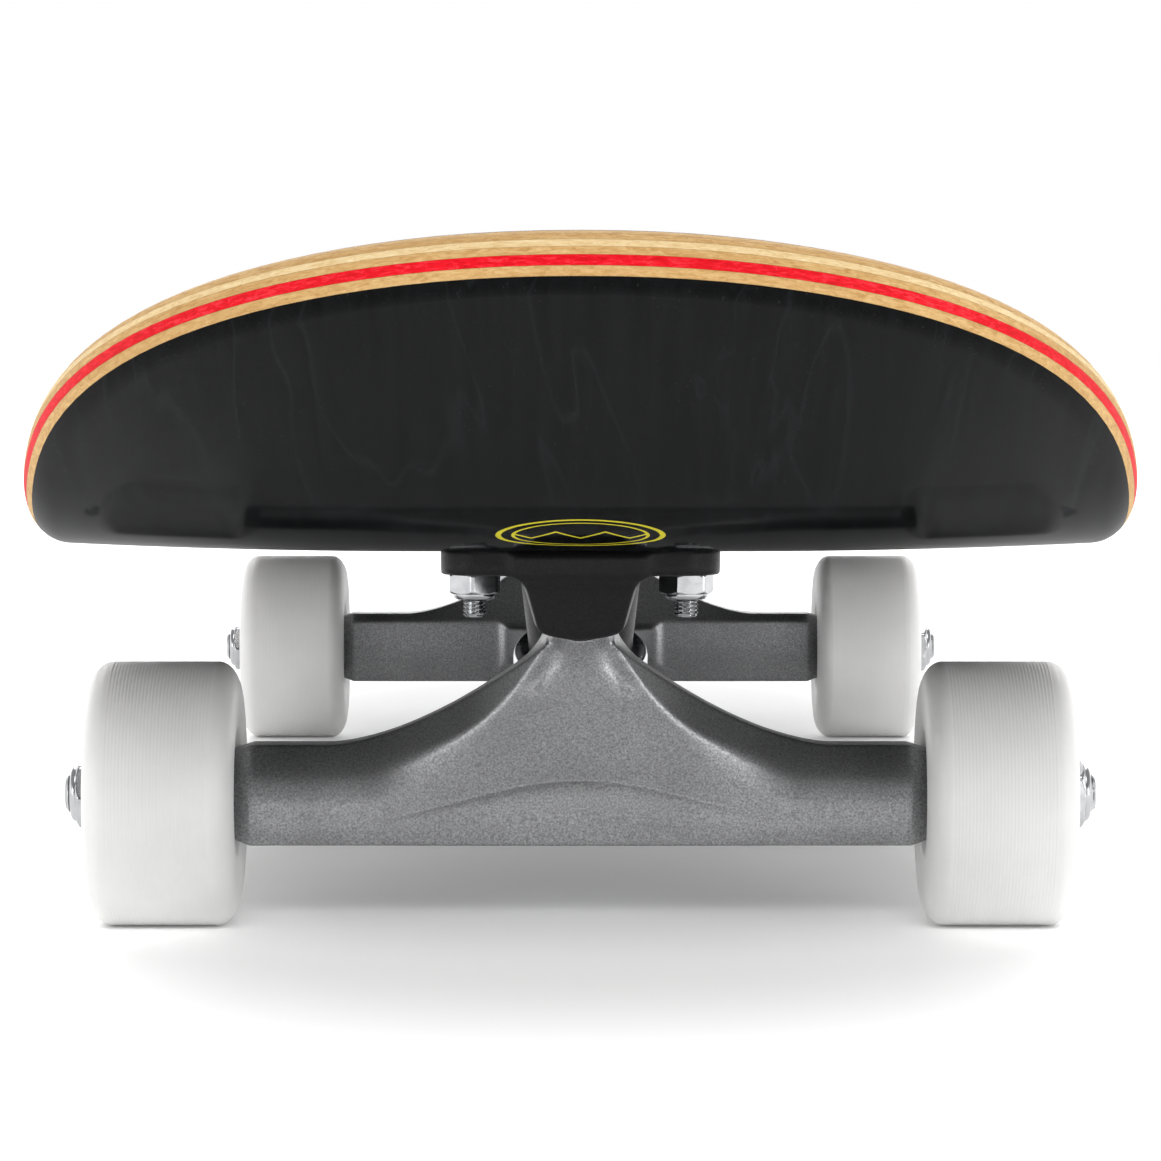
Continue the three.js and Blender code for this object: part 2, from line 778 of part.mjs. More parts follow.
function wheelSet(end) {
  const group = new THREE.Group();
  group.position.set(0, end.axle, WHEEL_RADIUS);
  const inner = BEARING.spacer / 2 + FIT;
  const outer = inner + BEARING.width - FIT;
  const nut = lockNut(AXLE.nutAcross, AXLE.nutHeight, AXLE.radius + FIT);
  for (const [side, sign] of [["left", -1], ["right", 1]]) {
    const named = (name) => `${end.name}_${side}_${name}`;
    const outward = new THREE.Matrix4().makeRotationZ((-sign * Math.PI) / 2);
    const hub = outward.clone().setPosition(sign * WHEEL.centre, 0, 0);
    const tip = outward.clone().setPosition(sign * AXLE.nutStart, 0, 0);
    group.add(
      mesh(named("wheel"), wheel(), LOOK.urethane, hub),
      mesh(named("bearing_outboard"), bearing(inner, outer), LOOK.steel, hub),
      mesh(named("bearing_inboard"), bearing(-inner, -outer), LOOK.steel, hub),
      mesh(named("bearing_sleeve"), innerSleeve(), LOOK.steel, hub),
      mesh(named("axle_nut"), nut, LOOK.chrome, tip),
    );
  }
  return group;
}

// ---- Assembly -----------------------------------------------------------------------------------

const skateboard = new THREE.Group();
skateboard.add(...deck(), ...mountingHardware());
for (const end of ENDS) skateboard.add(truck(end), wheelSet(end));

export default skateboard;
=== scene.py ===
import math

import bmesh
import bpy
import numpy as np
from mathutils import Matrix, Vector


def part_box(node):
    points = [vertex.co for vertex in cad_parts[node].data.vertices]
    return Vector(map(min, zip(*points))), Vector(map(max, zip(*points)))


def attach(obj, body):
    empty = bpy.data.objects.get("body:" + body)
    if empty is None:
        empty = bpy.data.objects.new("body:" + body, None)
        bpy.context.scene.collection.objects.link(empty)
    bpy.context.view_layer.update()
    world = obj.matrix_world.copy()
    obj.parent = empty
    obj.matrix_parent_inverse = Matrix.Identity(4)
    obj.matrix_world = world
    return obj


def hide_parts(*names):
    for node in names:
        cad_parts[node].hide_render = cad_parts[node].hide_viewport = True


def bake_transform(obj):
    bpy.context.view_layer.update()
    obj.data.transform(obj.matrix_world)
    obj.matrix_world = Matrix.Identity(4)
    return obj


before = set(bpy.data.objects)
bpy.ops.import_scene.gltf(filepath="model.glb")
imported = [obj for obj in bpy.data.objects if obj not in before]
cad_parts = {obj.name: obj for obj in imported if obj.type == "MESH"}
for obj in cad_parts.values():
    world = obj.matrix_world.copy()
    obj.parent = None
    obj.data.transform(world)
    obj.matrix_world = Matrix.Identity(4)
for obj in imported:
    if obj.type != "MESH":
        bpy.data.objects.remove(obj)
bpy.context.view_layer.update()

# A skateboard's looks. Sizes are in millimetres and become metres when a piece is made.
# X runs across the board, Y along it with the nose towards -Y, and Z up from the ground.
# A truck's own frame starts at the middle of its axle, with +Y towards the middle of the board.

MM = 0.001


def node_centre(name):
    low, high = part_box(name)
    return (low + high) / 2


AXLE_HEIGHT = node_centre("front_axle").z / MM
AXLE_AT = {"front": node_centre("front_axle").y / MM, "rear": node_centre("rear_axle").y / MM}
INWARD = {"front": 1, "rear": -1}
DECK_LOW, DECK_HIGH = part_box("deck_red_ply")

DECK_WIDTH, UNDERSIDE = 204.2, 77.35
TAPER, TIP_POWER, SIDE_POWER = 167.8, 2.93, 2.13
PLY_TOPS = np.concatenate([[0], np.cumsum((1.6, 1.4, 1.65, 1.4, 1.3, 1.25, 1.1))])
THICKNESS = PLY_TOPS[-1] + 0.78
LOWER_ROUND, UPPER_ROUND = 5.5, 5.0
KICK_START, KICK_RADIUS, KICK_ANGLE = 41.8, 183.6, math.radians(22.25)
FLAT_HALF, CONCAVE = 28.0, 1.9
NOSE_REACH = 199.93
TAIL_SHORTER = (AXLE_AT["front"] - DECK_LOW.y / MM) - (DECK_HIGH.y / MM - AXLE_AT["rear"])
REACH = {"front": NOSE_REACH, "rear": NOSE_REACH - TAIL_SHORTER}

# In a truck's own frame: the centres of the ring round the kingpin and of the pivot nose.
RING = (0.0, 32.0, 9.5)
PIVOT = (0.0, -24.0, 42.0)
KINGPIN_LEAN = math.radians(25)
STEER = math.atan2(PIVOT[2] - RING[2], RING[1] - PIVOT[1])
KINGPIN_UP = (0.0, -math.sin(KINGPIN_LEAN), math.cos(KINGPIN_LEAN))
STEER_OUT = (0.0, -math.cos(STEER), math.sin(STEER))

PLATE_THICK, PLATE_HALF_WIDTH, PLATE_CORNER = 5.2, 27.0, 8.0
PLATE_MIDDLE, PLATE_HALF_LENGTH = 1.0, 40.0
PLATE_TOP = UNDERSIDE - AXLE_HEIGHT - 0.05
PLATE_UNDER = UNDERSIDE - AXLE_HEIGHT - PLATE_THICK
BOLT_X, BOLT_HALF, BOLT_CENTRE = 20.65, 26.99, 4.7

ARM_END, ARM_TOP, WEB_RISE, HANGER_FOOT, AXLE_BORE = 70.2, 10.0, 20.9, -9.7, 4.05
RING_RADIUS, RING_HALF, RING_BORE = 14.6, 3.6, 6.9
# Where the bushings end, along the kingpin from the ring's centre.
UPPER_END, LOWER_END, SEAT_END = 18.6, -13.4, 3.05
CUP_THICK = 1.4

KINGPIN_RADIUS, KINGPIN_PITCH = 4.76, 1.06
AXLE_RADIUS, AXLE_PITCH, AXLE_TIP, THREAD_LENGTH = 3.97, 1.06, 103.2, 9
BOLT_RADIUS, BOLT_PITCH, BOLT_NUT_HEIGHT = 2.41, 0.79, 5.3
WHEEL_X, WHEEL_RADIUS, WHEEL_HALF = 83.2, 26.5, 14.95


# ---- Node materials ----


class Nodes:
    """A node tree and short ways to add nodes to it."""

    def __init__(self, tree):
        self.tree = tree

    def set(self, node, inputs):
        """Links or sets each of a node's inputs."""
        for key, value in inputs.items():
            socket = node.inputs[key]
            if isinstance(value, bpy.types.NodeSocket):
                self.tree.links.new(value, socket)
            elif socket.type == "RGBA":
                socket.default_value = (*value, 1)
            else:
                socket.default_value = value

    def add(self, kind, inputs=None, **settings):
        node = self.tree.nodes.new("ShaderNode" + kind)
        for key, value in settings.items():
            setattr(node, key, value)
        self.set(node, inputs or {})
        return node

    def math(self, operation, a, b=0.0):
        return self.add("Math", {0: a, 1: b}, operation=operation).outputs[0]

    def ramp(self, factor, *stops):
        node = self.add("ValToRGB", {"Fac": factor})
        elements = node.color_ramp.elements
        while len(elements) < len(stops):
            elements.new(0.5)
        for element, (position, color) in zip(elements, stops):
            element.position = position
            element.color = (*color, 1)
        return node.outputs["Color"]

    def grade(self, factor, low, high, to_low, to_high):
        """A value carried from one range to another, kept inside it."""
        inputs = {"Value": factor, "From Min": low, "From Max": high, "To Min": to_low, "To Max": to_high}
        return self.add("MapRange", inputs).outputs["Result"]

    def blend(self, factor, a, b):
        node = self.add("Mix", data_type="RGBA")
        factor_socket, a_socket, b_socket = 0, 6, 7
        self.set(node, {factor_socket: factor, a_socket: a, b_socket: b})
        return node.outputs[2]


class Look(Nodes):
    """A Principled material."""

    def __init__(self, name, color, roughness, **sockets):
        self.material = bpy.data.materials.new(name)
        self.material.use_nodes = True
        super().__init__(self.material.node_tree)
        self.shader = self.tree.nodes["Principled BSDF"]
        self.set(self.shader, {"Base Color": color, "Roughness": roughness})
        self.set(self.shader, {key.replace("_", " "): value for key, value in sockets.items()})
        self.bumps = []

    def place(self, scale=(1, 1, 1), attribute=None):
        """Object coordinates, or a stored vector, stretched by a scale."""
        if attribute:
            source = self.add("Attribute", attribute_name=attribute).outputs["Vector"]
        else:
            source = self.add("TexCoord").outputs["Object"]
        return self.add("Mapping", {"Vector": source, "Scale": scale}).outputs["Vector"]

    def noise(self, scale, detail=4.0, roughness=0.55, distortion=0.0, attribute=None):
        """Noise of one scale, or one for each axis."""
        scales = (scale, scale, scale) if isinstance(scale, int) else scale
        inputs = {"Vector": self.place(scales, attribute), "Scale": 1.0, "Detail": detail}
        inputs.update({"Roughness": roughness, "Distortion": distortion})
        return self.add("TexNoise", inputs).outputs["Fac"]

    def color(self, socket):
        self.set(self.shader, {"Base Color": socket})

    def roughness(self, socket):
        self.set(self.shader, {"Roughness": socket})

    def bump(self, height, distance, strength=1.0):
        """Adds a bump over any that the material already has."""
        inputs = {"Height": height, "Distance": distance, "Strength": strength}
        if self.bumps:
            inputs["Normal"] = self.bumps[-1]
        node = self.add("Bump", inputs)
        self.bumps.append(node.outputs["Normal"])
        self.set(self.shader, {"Normal": node.outputs["Normal"]})


def shaded(color, share):
    return tuple(share * c for c in color)


def grip_look():
    """Coarse black grit: worn patches and bright grains."""
    look = Look("grip_tape", (0.02, 0.02, 0.022), 0.9, Specular_IOR_Level=0.35)
    grit = look.noise(2600, detail=3, roughness=0.7)
    patches = look.noise(26, detail=3)
    base = look.ramp(patches, (0.3, (0.012, 0.012, 0.013)), (0.7, (0.03, 0.03, 0.032)))
    glint = look.grade(grit, 0.64, 0.72, 0.0, 1.0)
    look.color(look.blend(glint, base, (0.13, 0.13, 0.135)))
    look.roughness(look.grade(grit, 0.4, 0.75, 0.95, 0.5))
    look.bump(grit, 0.00035)
    return look.material


def veneer_look(name, light, dark, streak):
    """The sanded edge of a veneer: short fibres, pores and a thin glue line at either face."""
    look = Look(name, light, 0.55, Specular_IOR_Level=0.12)
    fibres = look.noise((420, 420, 1900), 6, 0.68, 0.8, "developed")
    broad = look.noise((22, 22, 500), 3, attribute="developed")
    pores = look.noise((1500, 1500, 4200), 2, attribute="developed")
    grain = look.ramp(fibres, (0.34, dark), (0.5, light), (0.7, streak))
    tint = look.blend(look.grade(broad, 0.35, 0.7, 0, 0.4), grain, dark)
    tint = look.blend(look.grade(pores, 0.64, 0.74, 0, 0.45), tint, shaded(dark, 0.5))
    share = look.add("SeparateXYZ", {0: look.place(attribute="ply_share")}).outputs["Z"]
    edge = look.math("ABSOLUTE", look.math("SUBTRACT", share, 0.5))
    glue = look.grade(edge, 0.45, 0.5, 0, 0.6)
    look.color(look.blend(glue, tint, shaded(dark, 0.4)))
    look.roughness(look.grade(fibres, 0.3, 0.7, 0.48, 0.66))
    look.bump(fibres, 0.00005, 0.5)
    return look.material


def lacquer_look():
    """Black lacquer over maple, its grain just showing, with a printed line motif."""
    look = Look("black_lacquer", (0.006, 0.006, 0.007), 0.3, Specular_IOR_Level=0.0)
    look.set(look.shader, {"Coat Weight": 0.26, "Coat Roughness": 0.09, "Coat IOR": 1.3})
    grain = look.noise((520, 16, 520), 5, 0.62, 0.35, "developed")
    rings = look.noise((26, 2.2, 26), 3, distortion=1.4, attribute="developed")
    wave = look.math("FRACT", look.math("MULTIPLY", rings, 9.0))
    figure = look.math("ABSOLUTE", look.math("SUBTRACT", wave, 0.5))
    speck = look.noise(1500, 2, attribute="developed")
    base = look.ramp(grain, (0.35, (0.0012, 0.0014, 0.0016)), (0.68, (0.004, 0.0043, 0.0048)))
    base = look.blend(look.grade(figure, 0.42, 0.5, 0, 0.35), base, (0.012, 0.016, 0.016))
    base = look.blend(look.grade(speck, 0.68, 0.74, 0, 0.3), base, (0.04, 0.042, 0.044))
    look.color(look.blend(line_motif(look), base, (0.62, 0.55, 0.03)))
    look.roughness(look.grade(grain, 0.3, 0.75, 0.2, 0.36))
    look.bump(grain, 0.000018, 0.5)
    return look.material


def line_motif(look):
    """A generic badge of thin lines, an oval round a small mountain line, ahead of the front truck."""
    centre, half_length, half_width = AXLE_AT["front"] - 84, 13, 15
    x, s, _ = look.add("SeparateXYZ", {0: look.place(attribute="developed")}).outputs
    v = look.math("DIVIDE", look.math("SUBTRACT", s, centre * MM), half_length * MM)
    u = look.math("DIVIDE", x, half_width * MM)
    squares = look.math("ADD", look.math("MULTIPLY", u, u), look.math("MULTIPLY", v, v))
    ring = look.math("SQRT", squares)

    def line(value, at, half):
        off = look.math("ABSOLUTE", look.math("SUBTRACT", value, at))
        return look.math("LESS_THAN", off, half)

    rings = look.math("MAXIMUM", line(ring, 1.0, 0.035), line(ring, 0.82, 0.022))
    slope = look.math("PINGPONG", look.math("ADD", u, 0.9), 0.3)
    ridge = look.math("SUBTRACT", v, look.math("MULTIPLY", slope, 1.6))
    peaks = look.math("MULTIPLY", line(ridge, -0.25, 0.045), look.math("LESS_THAN", ring, 0.8))
    return look.math("MAXIMUM", rings, peaks)


def casting_look(name, dark, light, metallic, roughness, grain=0.00006, specular=0.5):
    """A sand-grained casting with slightly polished high spots."""
    look = Look(name, light, roughness, Metallic=metallic, Specular_IOR_Level=specular)
    sand = look.noise(2400, detail=3, roughness=0.6)
    fine = look.noise(5200, detail=2, roughness=0.6)
    cloud = look.noise(60, detail=4)
    tone = look.ramp(sand, (0.33, dark), (0.68, light))
    shade = tuple(0.6 * (a + b) / 2 for a, b in zip(dark, light))
    look.color(look.blend(look.grade(cloud, 0.35, 0.75, 0, 0.4), tone, shade))
    look.roughness(look.grade(sand, 0.3, 0.7, roughness + 0.12, roughness - 0.07))
    look.bump(sand, grain, 0.8)
    look.bump(fine, grain / 2, 0.5)
    return look.material


def metal_look(name, color, roughness, scratch=0.00001):
    """Plated or ground steel, with smudges and fine marks."""
    look = Look(name, color, roughness, Metallic=1.0)
    smudge = look.noise(240, detail=4)
    fine = look.noise(3800, detail=3)
    look.color(look.blend(look.grade(smudge, 0.4, 0.78, 0, 0.6), color, shaded(color, 0.62)))
    look.roughness(look.grade(smudge, 0.3, 0.75, roughness * 0.75, roughness + 0.14))
    look.bump(fine, scratch, 0.5)
    return look.material


def urethane_look():
    """White urethane: milky, a little soft under light, with lathe lines across the tread."""
    look = Look("white_urethane", (0.76, 0.76, 0.75), 0.38, Specular_IOR_Level=0.45)
    look.set(look.shader, {"Subsurface Weight": 0.12, "Subsurface Scale": 0.004})
    look.set(look.shader, {"Subsurface Radius": (1.0, 0.9, 0.8)})
    cloud = look.noise(45, detail=3)
    dust = look.noise(900, detail=3)
    lines = look.noise((2200, 4, 4), detail=2)
    base = look.ramp(cloud, (0.3, (0.73, 0.73, 0.72)), (0.7, (0.79, 0.79, 0.78)))
    look.color(look.blend(look.grade(dust, 0.62, 0.75, 0, 0.12), base, (0.6, 0.59, 0.57)))
    look.roughness(look.grade(dust, 0.3, 0.7, 0.34, 0.48))
    look.bump(lines, 0.00005, 0.5)
    look.bump(dust, 0.000015, 0.4)
    return look.material


def rubber_look(name, color, roughness=0.5):
    """Moulded urethane or rubber with paler handling marks."""
    look = Look(name, color, roughness, Specular_IOR_Level=0.4)
    cloud = look.noise(300, detail=4)
    fine = look.noise(2600, detail=2)
    lighter = tuple(min(1, 1.7 * c + 0.01) for c in color)
    look.color(look.blend(look.grade(cloud, 0.35, 0.8, 0, 0.7), color, lighter))
    look.roughness(look.grade(cloud, 0.3, 0.7, roughness - 0.08, roughness + 0.12))
    look.bump(fine, 0.00003, 0.5)
    return look.material


LOOKS = {
    "grip": grip_look(),
    "natural": veneer_look("natural_maple", (0.56, 0.35, 0.14), (0.42, 0.23, 0.075), (0.68, 0.47, 0.23)),
    "cream": veneer_look("pale_maple", (0.74, 0.57, 0.31), (0.6, 0.41, 0.19), (0.84, 0.7, 0.44)),
    "red": veneer_look("red_maple", (0.72, 0.002, 0.012), (0.5, 0.001, 0.006), (0.84, 0.06, 0.08)),
    "lacquer": lacquer_look(),
    "plate": casting_look(
        "black_paint", (0.003, 0.003, 0.0035), (0.011, 0.011, 0.012), 0.0, 0.4, 0.00004, 0.2
    ),
    "hanger": casting_look("gunmetal_casting", (0.2, 0.202, 0.208), (0.45, 0.452, 0.46), 0.8, 0.38),
    "chrome": metal_look("chrome", (0.48, 0.487, 0.5), 0.14),
    "plated": metal_look("plated_steel", (0.72, 0.73, 0.75), 0.26),
    "steel": metal_look("ground_steel", (0.5, 0.505, 0.52), 0.28),
    "shield": metal_look("bearing_shield", (0.62, 0.63, 0.65), 0.22),
    "bushing": rubber_look("bushing_urethane", (0.02, 0.02, 0.021)),
    "cup": rubber_look("pivot_cup_urethane", (0.03, 0.03, 0.032)),
    "urethane": urethane_look(),
}


# ---- Making pieces ----


FLIPPED = Matrix.Rotation(math.pi, 4, "X")


def truck_matrix(end):
    """From a truck's own frame in millimetres to the board's frame in metres."""
    turn = Matrix.Rotation(0 if end == "front" else math.pi, 4, "Z")
    at = Matrix.Translation(Vector((0, AXLE_AT[end], AXLE_HEIGHT)) * MM)
    return at @ turn @ Matrix.Scale(MM, 4)


def along(direction, origin=(0, 0, 0)):
    """A placing whose +Z runs along a direction."""
    turn = Vector(direction).to_track_quat("Z", "Y").to_matrix().to_4x4()
    return Matrix.Translation(Vector(origin)) @ turn


def in_scene(name, data):
    thing = bpy.data.objects.new(name, data)
    bpy.context.scene.collection.objects.link(thing)
    return thing


def piece(name, points, faces, place, look, slot, stands_for=None, sharp=35, stored=None):
    """A mesh object from points in millimetres, with the vectors that its material reads."""
    mesh = bpy.data.meshes.new(name)
    spots = np.asarray(points, float) @ np.array(place.to_3x3()).T + np.array(place.translation)
    mesh.from_pydata(spots.tolist(), [], [list(map(int, face)) for face in faces])
    for key, values in (stored or {}).items():
        attribute = mesh.attributes.new(key, "FLOAT_VECTOR", "POINT")
        attribute.data.foreach_set("vector", np.asarray(values, np.float32).ravel())
    clean(mesh)
    mesh.materials.append(LOOKS[look])
    mesh.shade_smooth()
    mesh.set_sharp_from_angle(angle=math.radians(sharp))
    thing = in_scene(name, mesh)
    if stands_for:
        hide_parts(stands_for)
    return thing


def add(group, name, body, shape, place, look, slot, node=None, sharp=35):
    """A piece that moves with a body. Its name and its node's start with its group's."""
    stands_for = f"{group}_{node}" if node else None
    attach(piece(f"{group}_{name}", *shape, place, look, slot, stands_for, sharp), body)


def add_nut(group, node, body, size, place, slot):
    """A lock nut and the nylon insert in its collar."""
    add(group, f"{node}_fine", body, lock_nut(*size), place, "chrome", slot, node)
    add(group, f"{node}_insert", body, nylon_ring(*size), place, "urethane", slot)


def clean(mesh):
    """Joins coincident points, drops collapsed faces and turns every face outwards."""
    work = bmesh.new()
    work.from_mesh(mesh)
    bmesh.ops.remove_doubles(work, verts=work.verts, dist=2e-7)
    bmesh.ops.dissolve_degenerate(work, edges=work.edges, dist=1e-7)
    bmesh.ops.recalc_face_normals(work, faces=work.faces)
    work.to_mesh(mesh)
    work.free()


def softened(section, radius, steps=3):
    """A closed outline with each corner rounded by up to a radius."""
    corners = [np.array(c, float) for c in section]
    count = len(corners)
    result = []
    for i, b in enumerate(corners):
        a, c = corners[i - 1], corners[(i + 1) % count]
        if b[0] == 0:
            result.append(b)
            continue
        to_a, to_c = a - b, c - b
        reach = min(radius, 0.45 * np.linalg.norm(to_a), 0.45 * np.linalg.norm(to_c))
        start = b + to_a / np.linalg.norm(to_a) * reach
        end = b + to_c / np.linalg.norm(to_c) * reach
        for k in range(steps + 1):
            t = k / steps
            result.append((1 - t) ** 2 * start + 2 * t * (1 - t) * b + t**2 * end)
    return result


def turned(section, sides=96):
    """Points and faces of a closed section of (radius, height), turned about +Z."""
    section = np.array(section, float)
    turn = np.arange(sides) * 2 * math.pi / sides
    x = np.outer(np.cos(turn), section[:, 0])
    y = np.outer(np.sin(turn), section[:, 0])
    z = np.broadcast_to(section[:, 1], x.shape)
    return np.stack([x, y, z], -1).reshape(-1, 3), ring_faces(sides, len(section), True)


def ring_faces(rows, columns, closed):
    """Quads of a grid whose rows wrap round, and whose columns do too if closed."""
    faces = []
    for i in range(rows):
        j = (i + 1) % rows
        for k in range(columns if closed else columns - 1):
            m = (k + 1) % columns
            faces.append((i * columns + k, j * columns + k, j * columns + m, i * columns + m))
    return faces


def shaped(levels, radius_at, bore=0.0, sides=96):
    """A body about +Z whose outer radius changes with angle and height."""
    turn = (np.arange(sides) + 0.5) * 2 * math.pi / sides
    outer = np.array([[radius_at(t, z) for z in levels] for t in turn])
    inner = np.full((sides, 1), bore)
    radii = np.hstack([inner, outer, inner])
    heights = np.array([levels[0], *levels, levels[-1]], float)
    x = radii * np.cos(turn)[:, None]
    y = radii * np.sin(turn)[:, None]
    z = np.broadcast_to(heights, x.shape)
    return np.stack([x, y, z], -1).reshape(-1, 3), ring_faces(sides, len(heights), True)


def joined(*parts):
    """One set of points and faces from several."""
    points, faces, start = [], [], 0
    for some, more in parts:
        points.append(np.asarray(some))
        faces += [tuple(start + i for i in face) for face in more]
        start += len(some)
    return np.concatenate(points), faces


def hexagon(across, height, chamfer, bottom=0.0):
    """Levels and an outer radius for a chamfered hexagon."""

    def radius_at(turn, z):
        side = across / 2 / math.cos((turn % (math.pi / 3)) - math.pi / 6)
        depth = min(z - bottom, bottom + height - z)
        return min(side, across / 2 * 0.98 + 1.5 * depth + 0.02)

    rise = [0, 0.15, 0.3, 0.5, 0.75, 1.0]
    levels = [bottom + r * chamfer for r in rise] + [bottom + height - r * chamfer for r in reversed(rise)]
    return levels, radius_at


def threads(radius, pitch, bottom, top, sides=48):
    """A threaded shank end with a chamfered tip at its bottom."""
    depth = 0.55 * pitch
    steps_a_turn = 6
    levels = np.arange(bottom, top + pitch / steps_a_turn / 2, pitch / steps_a_turn)

    def radius_at(turn, z):
        place = (z / pitch - turn / (2 * math.pi)) % 1
        ridge = radius - depth * abs(2 * place - 1)
        return min(ridge, radius - 0.8 * pitch + (z - bottom) * 1.1)

    return shaped(levels, radius_at, sides=sides)


def lock_nut(across, height, bore):
    """A hexagon with a rounded nylon-insert collar on top."""
    hex_height = 0.78 * height
    body = shaped(*hexagon(across, hex_height, 0.09 * across), bore=bore)
    profile = [(0.45, 0.5), (0.45, 0.86), (0.41, 0.97), (0.35, 1), (0.325, 0.96), (0.325, 0.9)]
    collar = [(across * a, height * h) for a, h in profile]
    collar = [(bore, 0.5 * height), *collar, (bore, 0.9 * height)]
    return joined(body, turned(softened(collar, 0.5)))


def nylon_ring(across, height, bore):
    """The insert in a lock nut's collar."""
    outside, bottom, top = 0.32 * across, 0.86 * height, 0.95 * height
    return turned(softened([(bore, bottom), (outside, bottom), (outside, top), (bore, top)], 0.25))


# ---- Deck ----


def rim_inset(height):
    """How far the rounded rim lies inside the outline."""
    low, high = LOWER_ROUND, UPPER_ROUND
    below = max(low - height, 0)
    above = max(height - (THICKNESS - high), 0)
    sanding = 0.01
    return sanding + low - math.sqrt(low**2 - below**2) + high - math.sqrt(max(high**2 - above**2, 0))


KICK_ARC = KICK_RADIUS * KICK_ANGLE
KICK_OUT = KICK_START + KICK_RADIUS * math.sin(KICK_ANGLE)


def deck_point(end, x, s, height):
    """The bent deck at x across and s out from an axle along the deck, in the board's frame."""
    bent = min(max(s - KICK_START, 0), KICK_ARC)
    angle = bent / KICK_RADIUS
    straight = max(s - KICK_START - KICK_ARC, 0)
    out = min(s, KICK_START) + KICK_RADIUS * math.sin(angle) + straight * math.cos(angle)
    up = KICK_RADIUS * (1 - math.cos(angle)) + straight * math.sin(angle)
    rail = max((abs(x) - FLAT_HALF) / (DECK_WIDTH / 2 - FLAT_HALF), 0)
    h = height + CONCAVE * rail**2
    y = AXLE_AT[end] - INWARD[end] * (out - h * math.sin(angle))
    return x, y, UNDERSIDE + up + h * math.cos(angle)


def outline_rows(end, fine, bends):
    """Rows from a tip inwards: the end, half width, place along the deck and outward direction."""
    turns = np.linspace(0, math.radians(63), fine)
    sigmas = list(TAPER * (1 - np.cos(turns) ** (2 / TIP_POWER)))
    sigmas += list(np.linspace(sigmas[-1], TAPER, bends + 1)[1:])
    total = KICK_START + KICK_ARC + (REACH[end] - KICK_OUT) / math.cos(KICK_ANGLE)
    rows = []
    for i, sigma in enumerate(sigmas):
        left = max(1 - sigma / TAPER, 0)
        turn = math.acos(min(left ** (TIP_POWER / 2), 1))
        half = DECK_WIDTH / 2 * math.sin(turn) ** (2 / SIDE_POWER)
        lengthwise = TIP_POWER * left ** (TIP_POWER - 1) / TAPER
        share = 2 * half / DECK_WIDTH
        sideways = SIDE_POWER * share ** (SIDE_POWER - 1) * 2 / DECK_WIDTH
        size = math.hypot(lengthwise, sideways)
        normal = (0.0, 1.0) if i == 0 else (sideways / size, lengthwise / size)
        rows.append((end, half, total - sigma, normal))
    return rows


def deck_rows(fine=22, bends=18, flats=8):
    """Rows of the whole outline, from the nose to the tail."""
    front = outline_rows("front", fine, bends)
    rear = outline_rows("rear", fine, bends)
    start = front[-1][2]
    half_length = (AXLE_AT["rear"] - AXLE_AT["front"]) / 2
    places = [start - (start + half_length) * k / flats for k in range(1, flats)]
    straight = [(DECK_WIDTH / 2, s, (1.0, 0.0)) for s in places]
    ahead = [("front", *row) for row in straight]
    behind = [("rear", *row) for row in reversed(straight)]
    return front + ahead + behind + rear[::-1]


def column_place(column, across, rim):
    """How far out a column lies: even steps over the flat middle, then even steps to the rim."""
    flat = min(FLAT_HALF, 0.45 * rim)
    inner = max(across // 3, 1)
    step = abs(column)
    if step <= inner:
        out = flat * step / inner
    else:
        out = flat + (rim - flat) * (step - inner) / (across - inner)
    return math.copysign(out, column)


def deck_layer(levels, across):
    """Points, faces and grain vectors of one layer whose rim follows the rounding at each level."""
    rows = deck_rows()
    points, grain, shares, index = [], [], [], {}

    def vertex(level, row, column):
        key = (level, row, column)
        if key not in index:
            end, half, s, normal = rows[row]
            inset = rim_inset(levels[level])
            rim = max(half - inset * normal[0], 0)
            x = column_place(column, across, rim)
            index[key] = len(points)
            points.append(deck_point(end, x, s - inset * normal[1], levels[level]))
            lengthwise = AXLE_AT[end] - INWARD[end] * s
            grain.append((x * MM, lengthwise * MM, levels[level] * MM))
            shares.append((0, 0, (levels[level] - levels[0]) / (levels[-1] - levels[0])))
        return index[key]

    faces = []
    top = len(levels) - 1
    for row in range(len(rows) - 1):
        for level in (0, top):
            for column in range(-across, across):
                corners = [(row, column), (row, column + 1), (row + 1, column + 1), (row + 1, column)]
                faces.append([vertex(level, *corner) for corner in corners])
        for side in (-across, across):
            for level in range(top):
                corners = [(level, row), (level, row + 1), (level + 1, row + 1), (level + 1, row)]
                faces.append([vertex(lv, r, side) for lv, r in corners])
    return points, faces, {"developed": grain, "ply_share": shares}


def make_layer(name, levels, across, look, slot, node):
    """One sheet of the deck, in the board's frame."""
    points, faces, grain = deck_layer(levels, across)
    return piece(name, points, faces, Matrix.Scale(MM, 4), look, slot, node, 40, grain)


SEEN_ACROSS, HIDDEN_ACROSS = 24, 6  # steps across half of a face that shows, or that lies inside
VENEERS = (
    ("veneer_1_black", "lacquer", "black_stained_maple", "deck_lower_plies"),
    ("veneer_2_natural", "natural", "natural_maple", "deck_lower_plies"),
    ("veneer_3_red", "red", "red_maple", "deck_red_ply"),
    ("veneer_4_natural", "natural", "natural_maple", "deck_upper_plies"),
    ("veneer_5_pale", "cream", "natural_maple", "deck_upper_plies"),
    ("veneer_6_natural", "natural", "natural_maple", "deck_upper_plies"),
    ("veneer_7_natural", "natural", "natural_maple", "deck_upper_plies"),
)


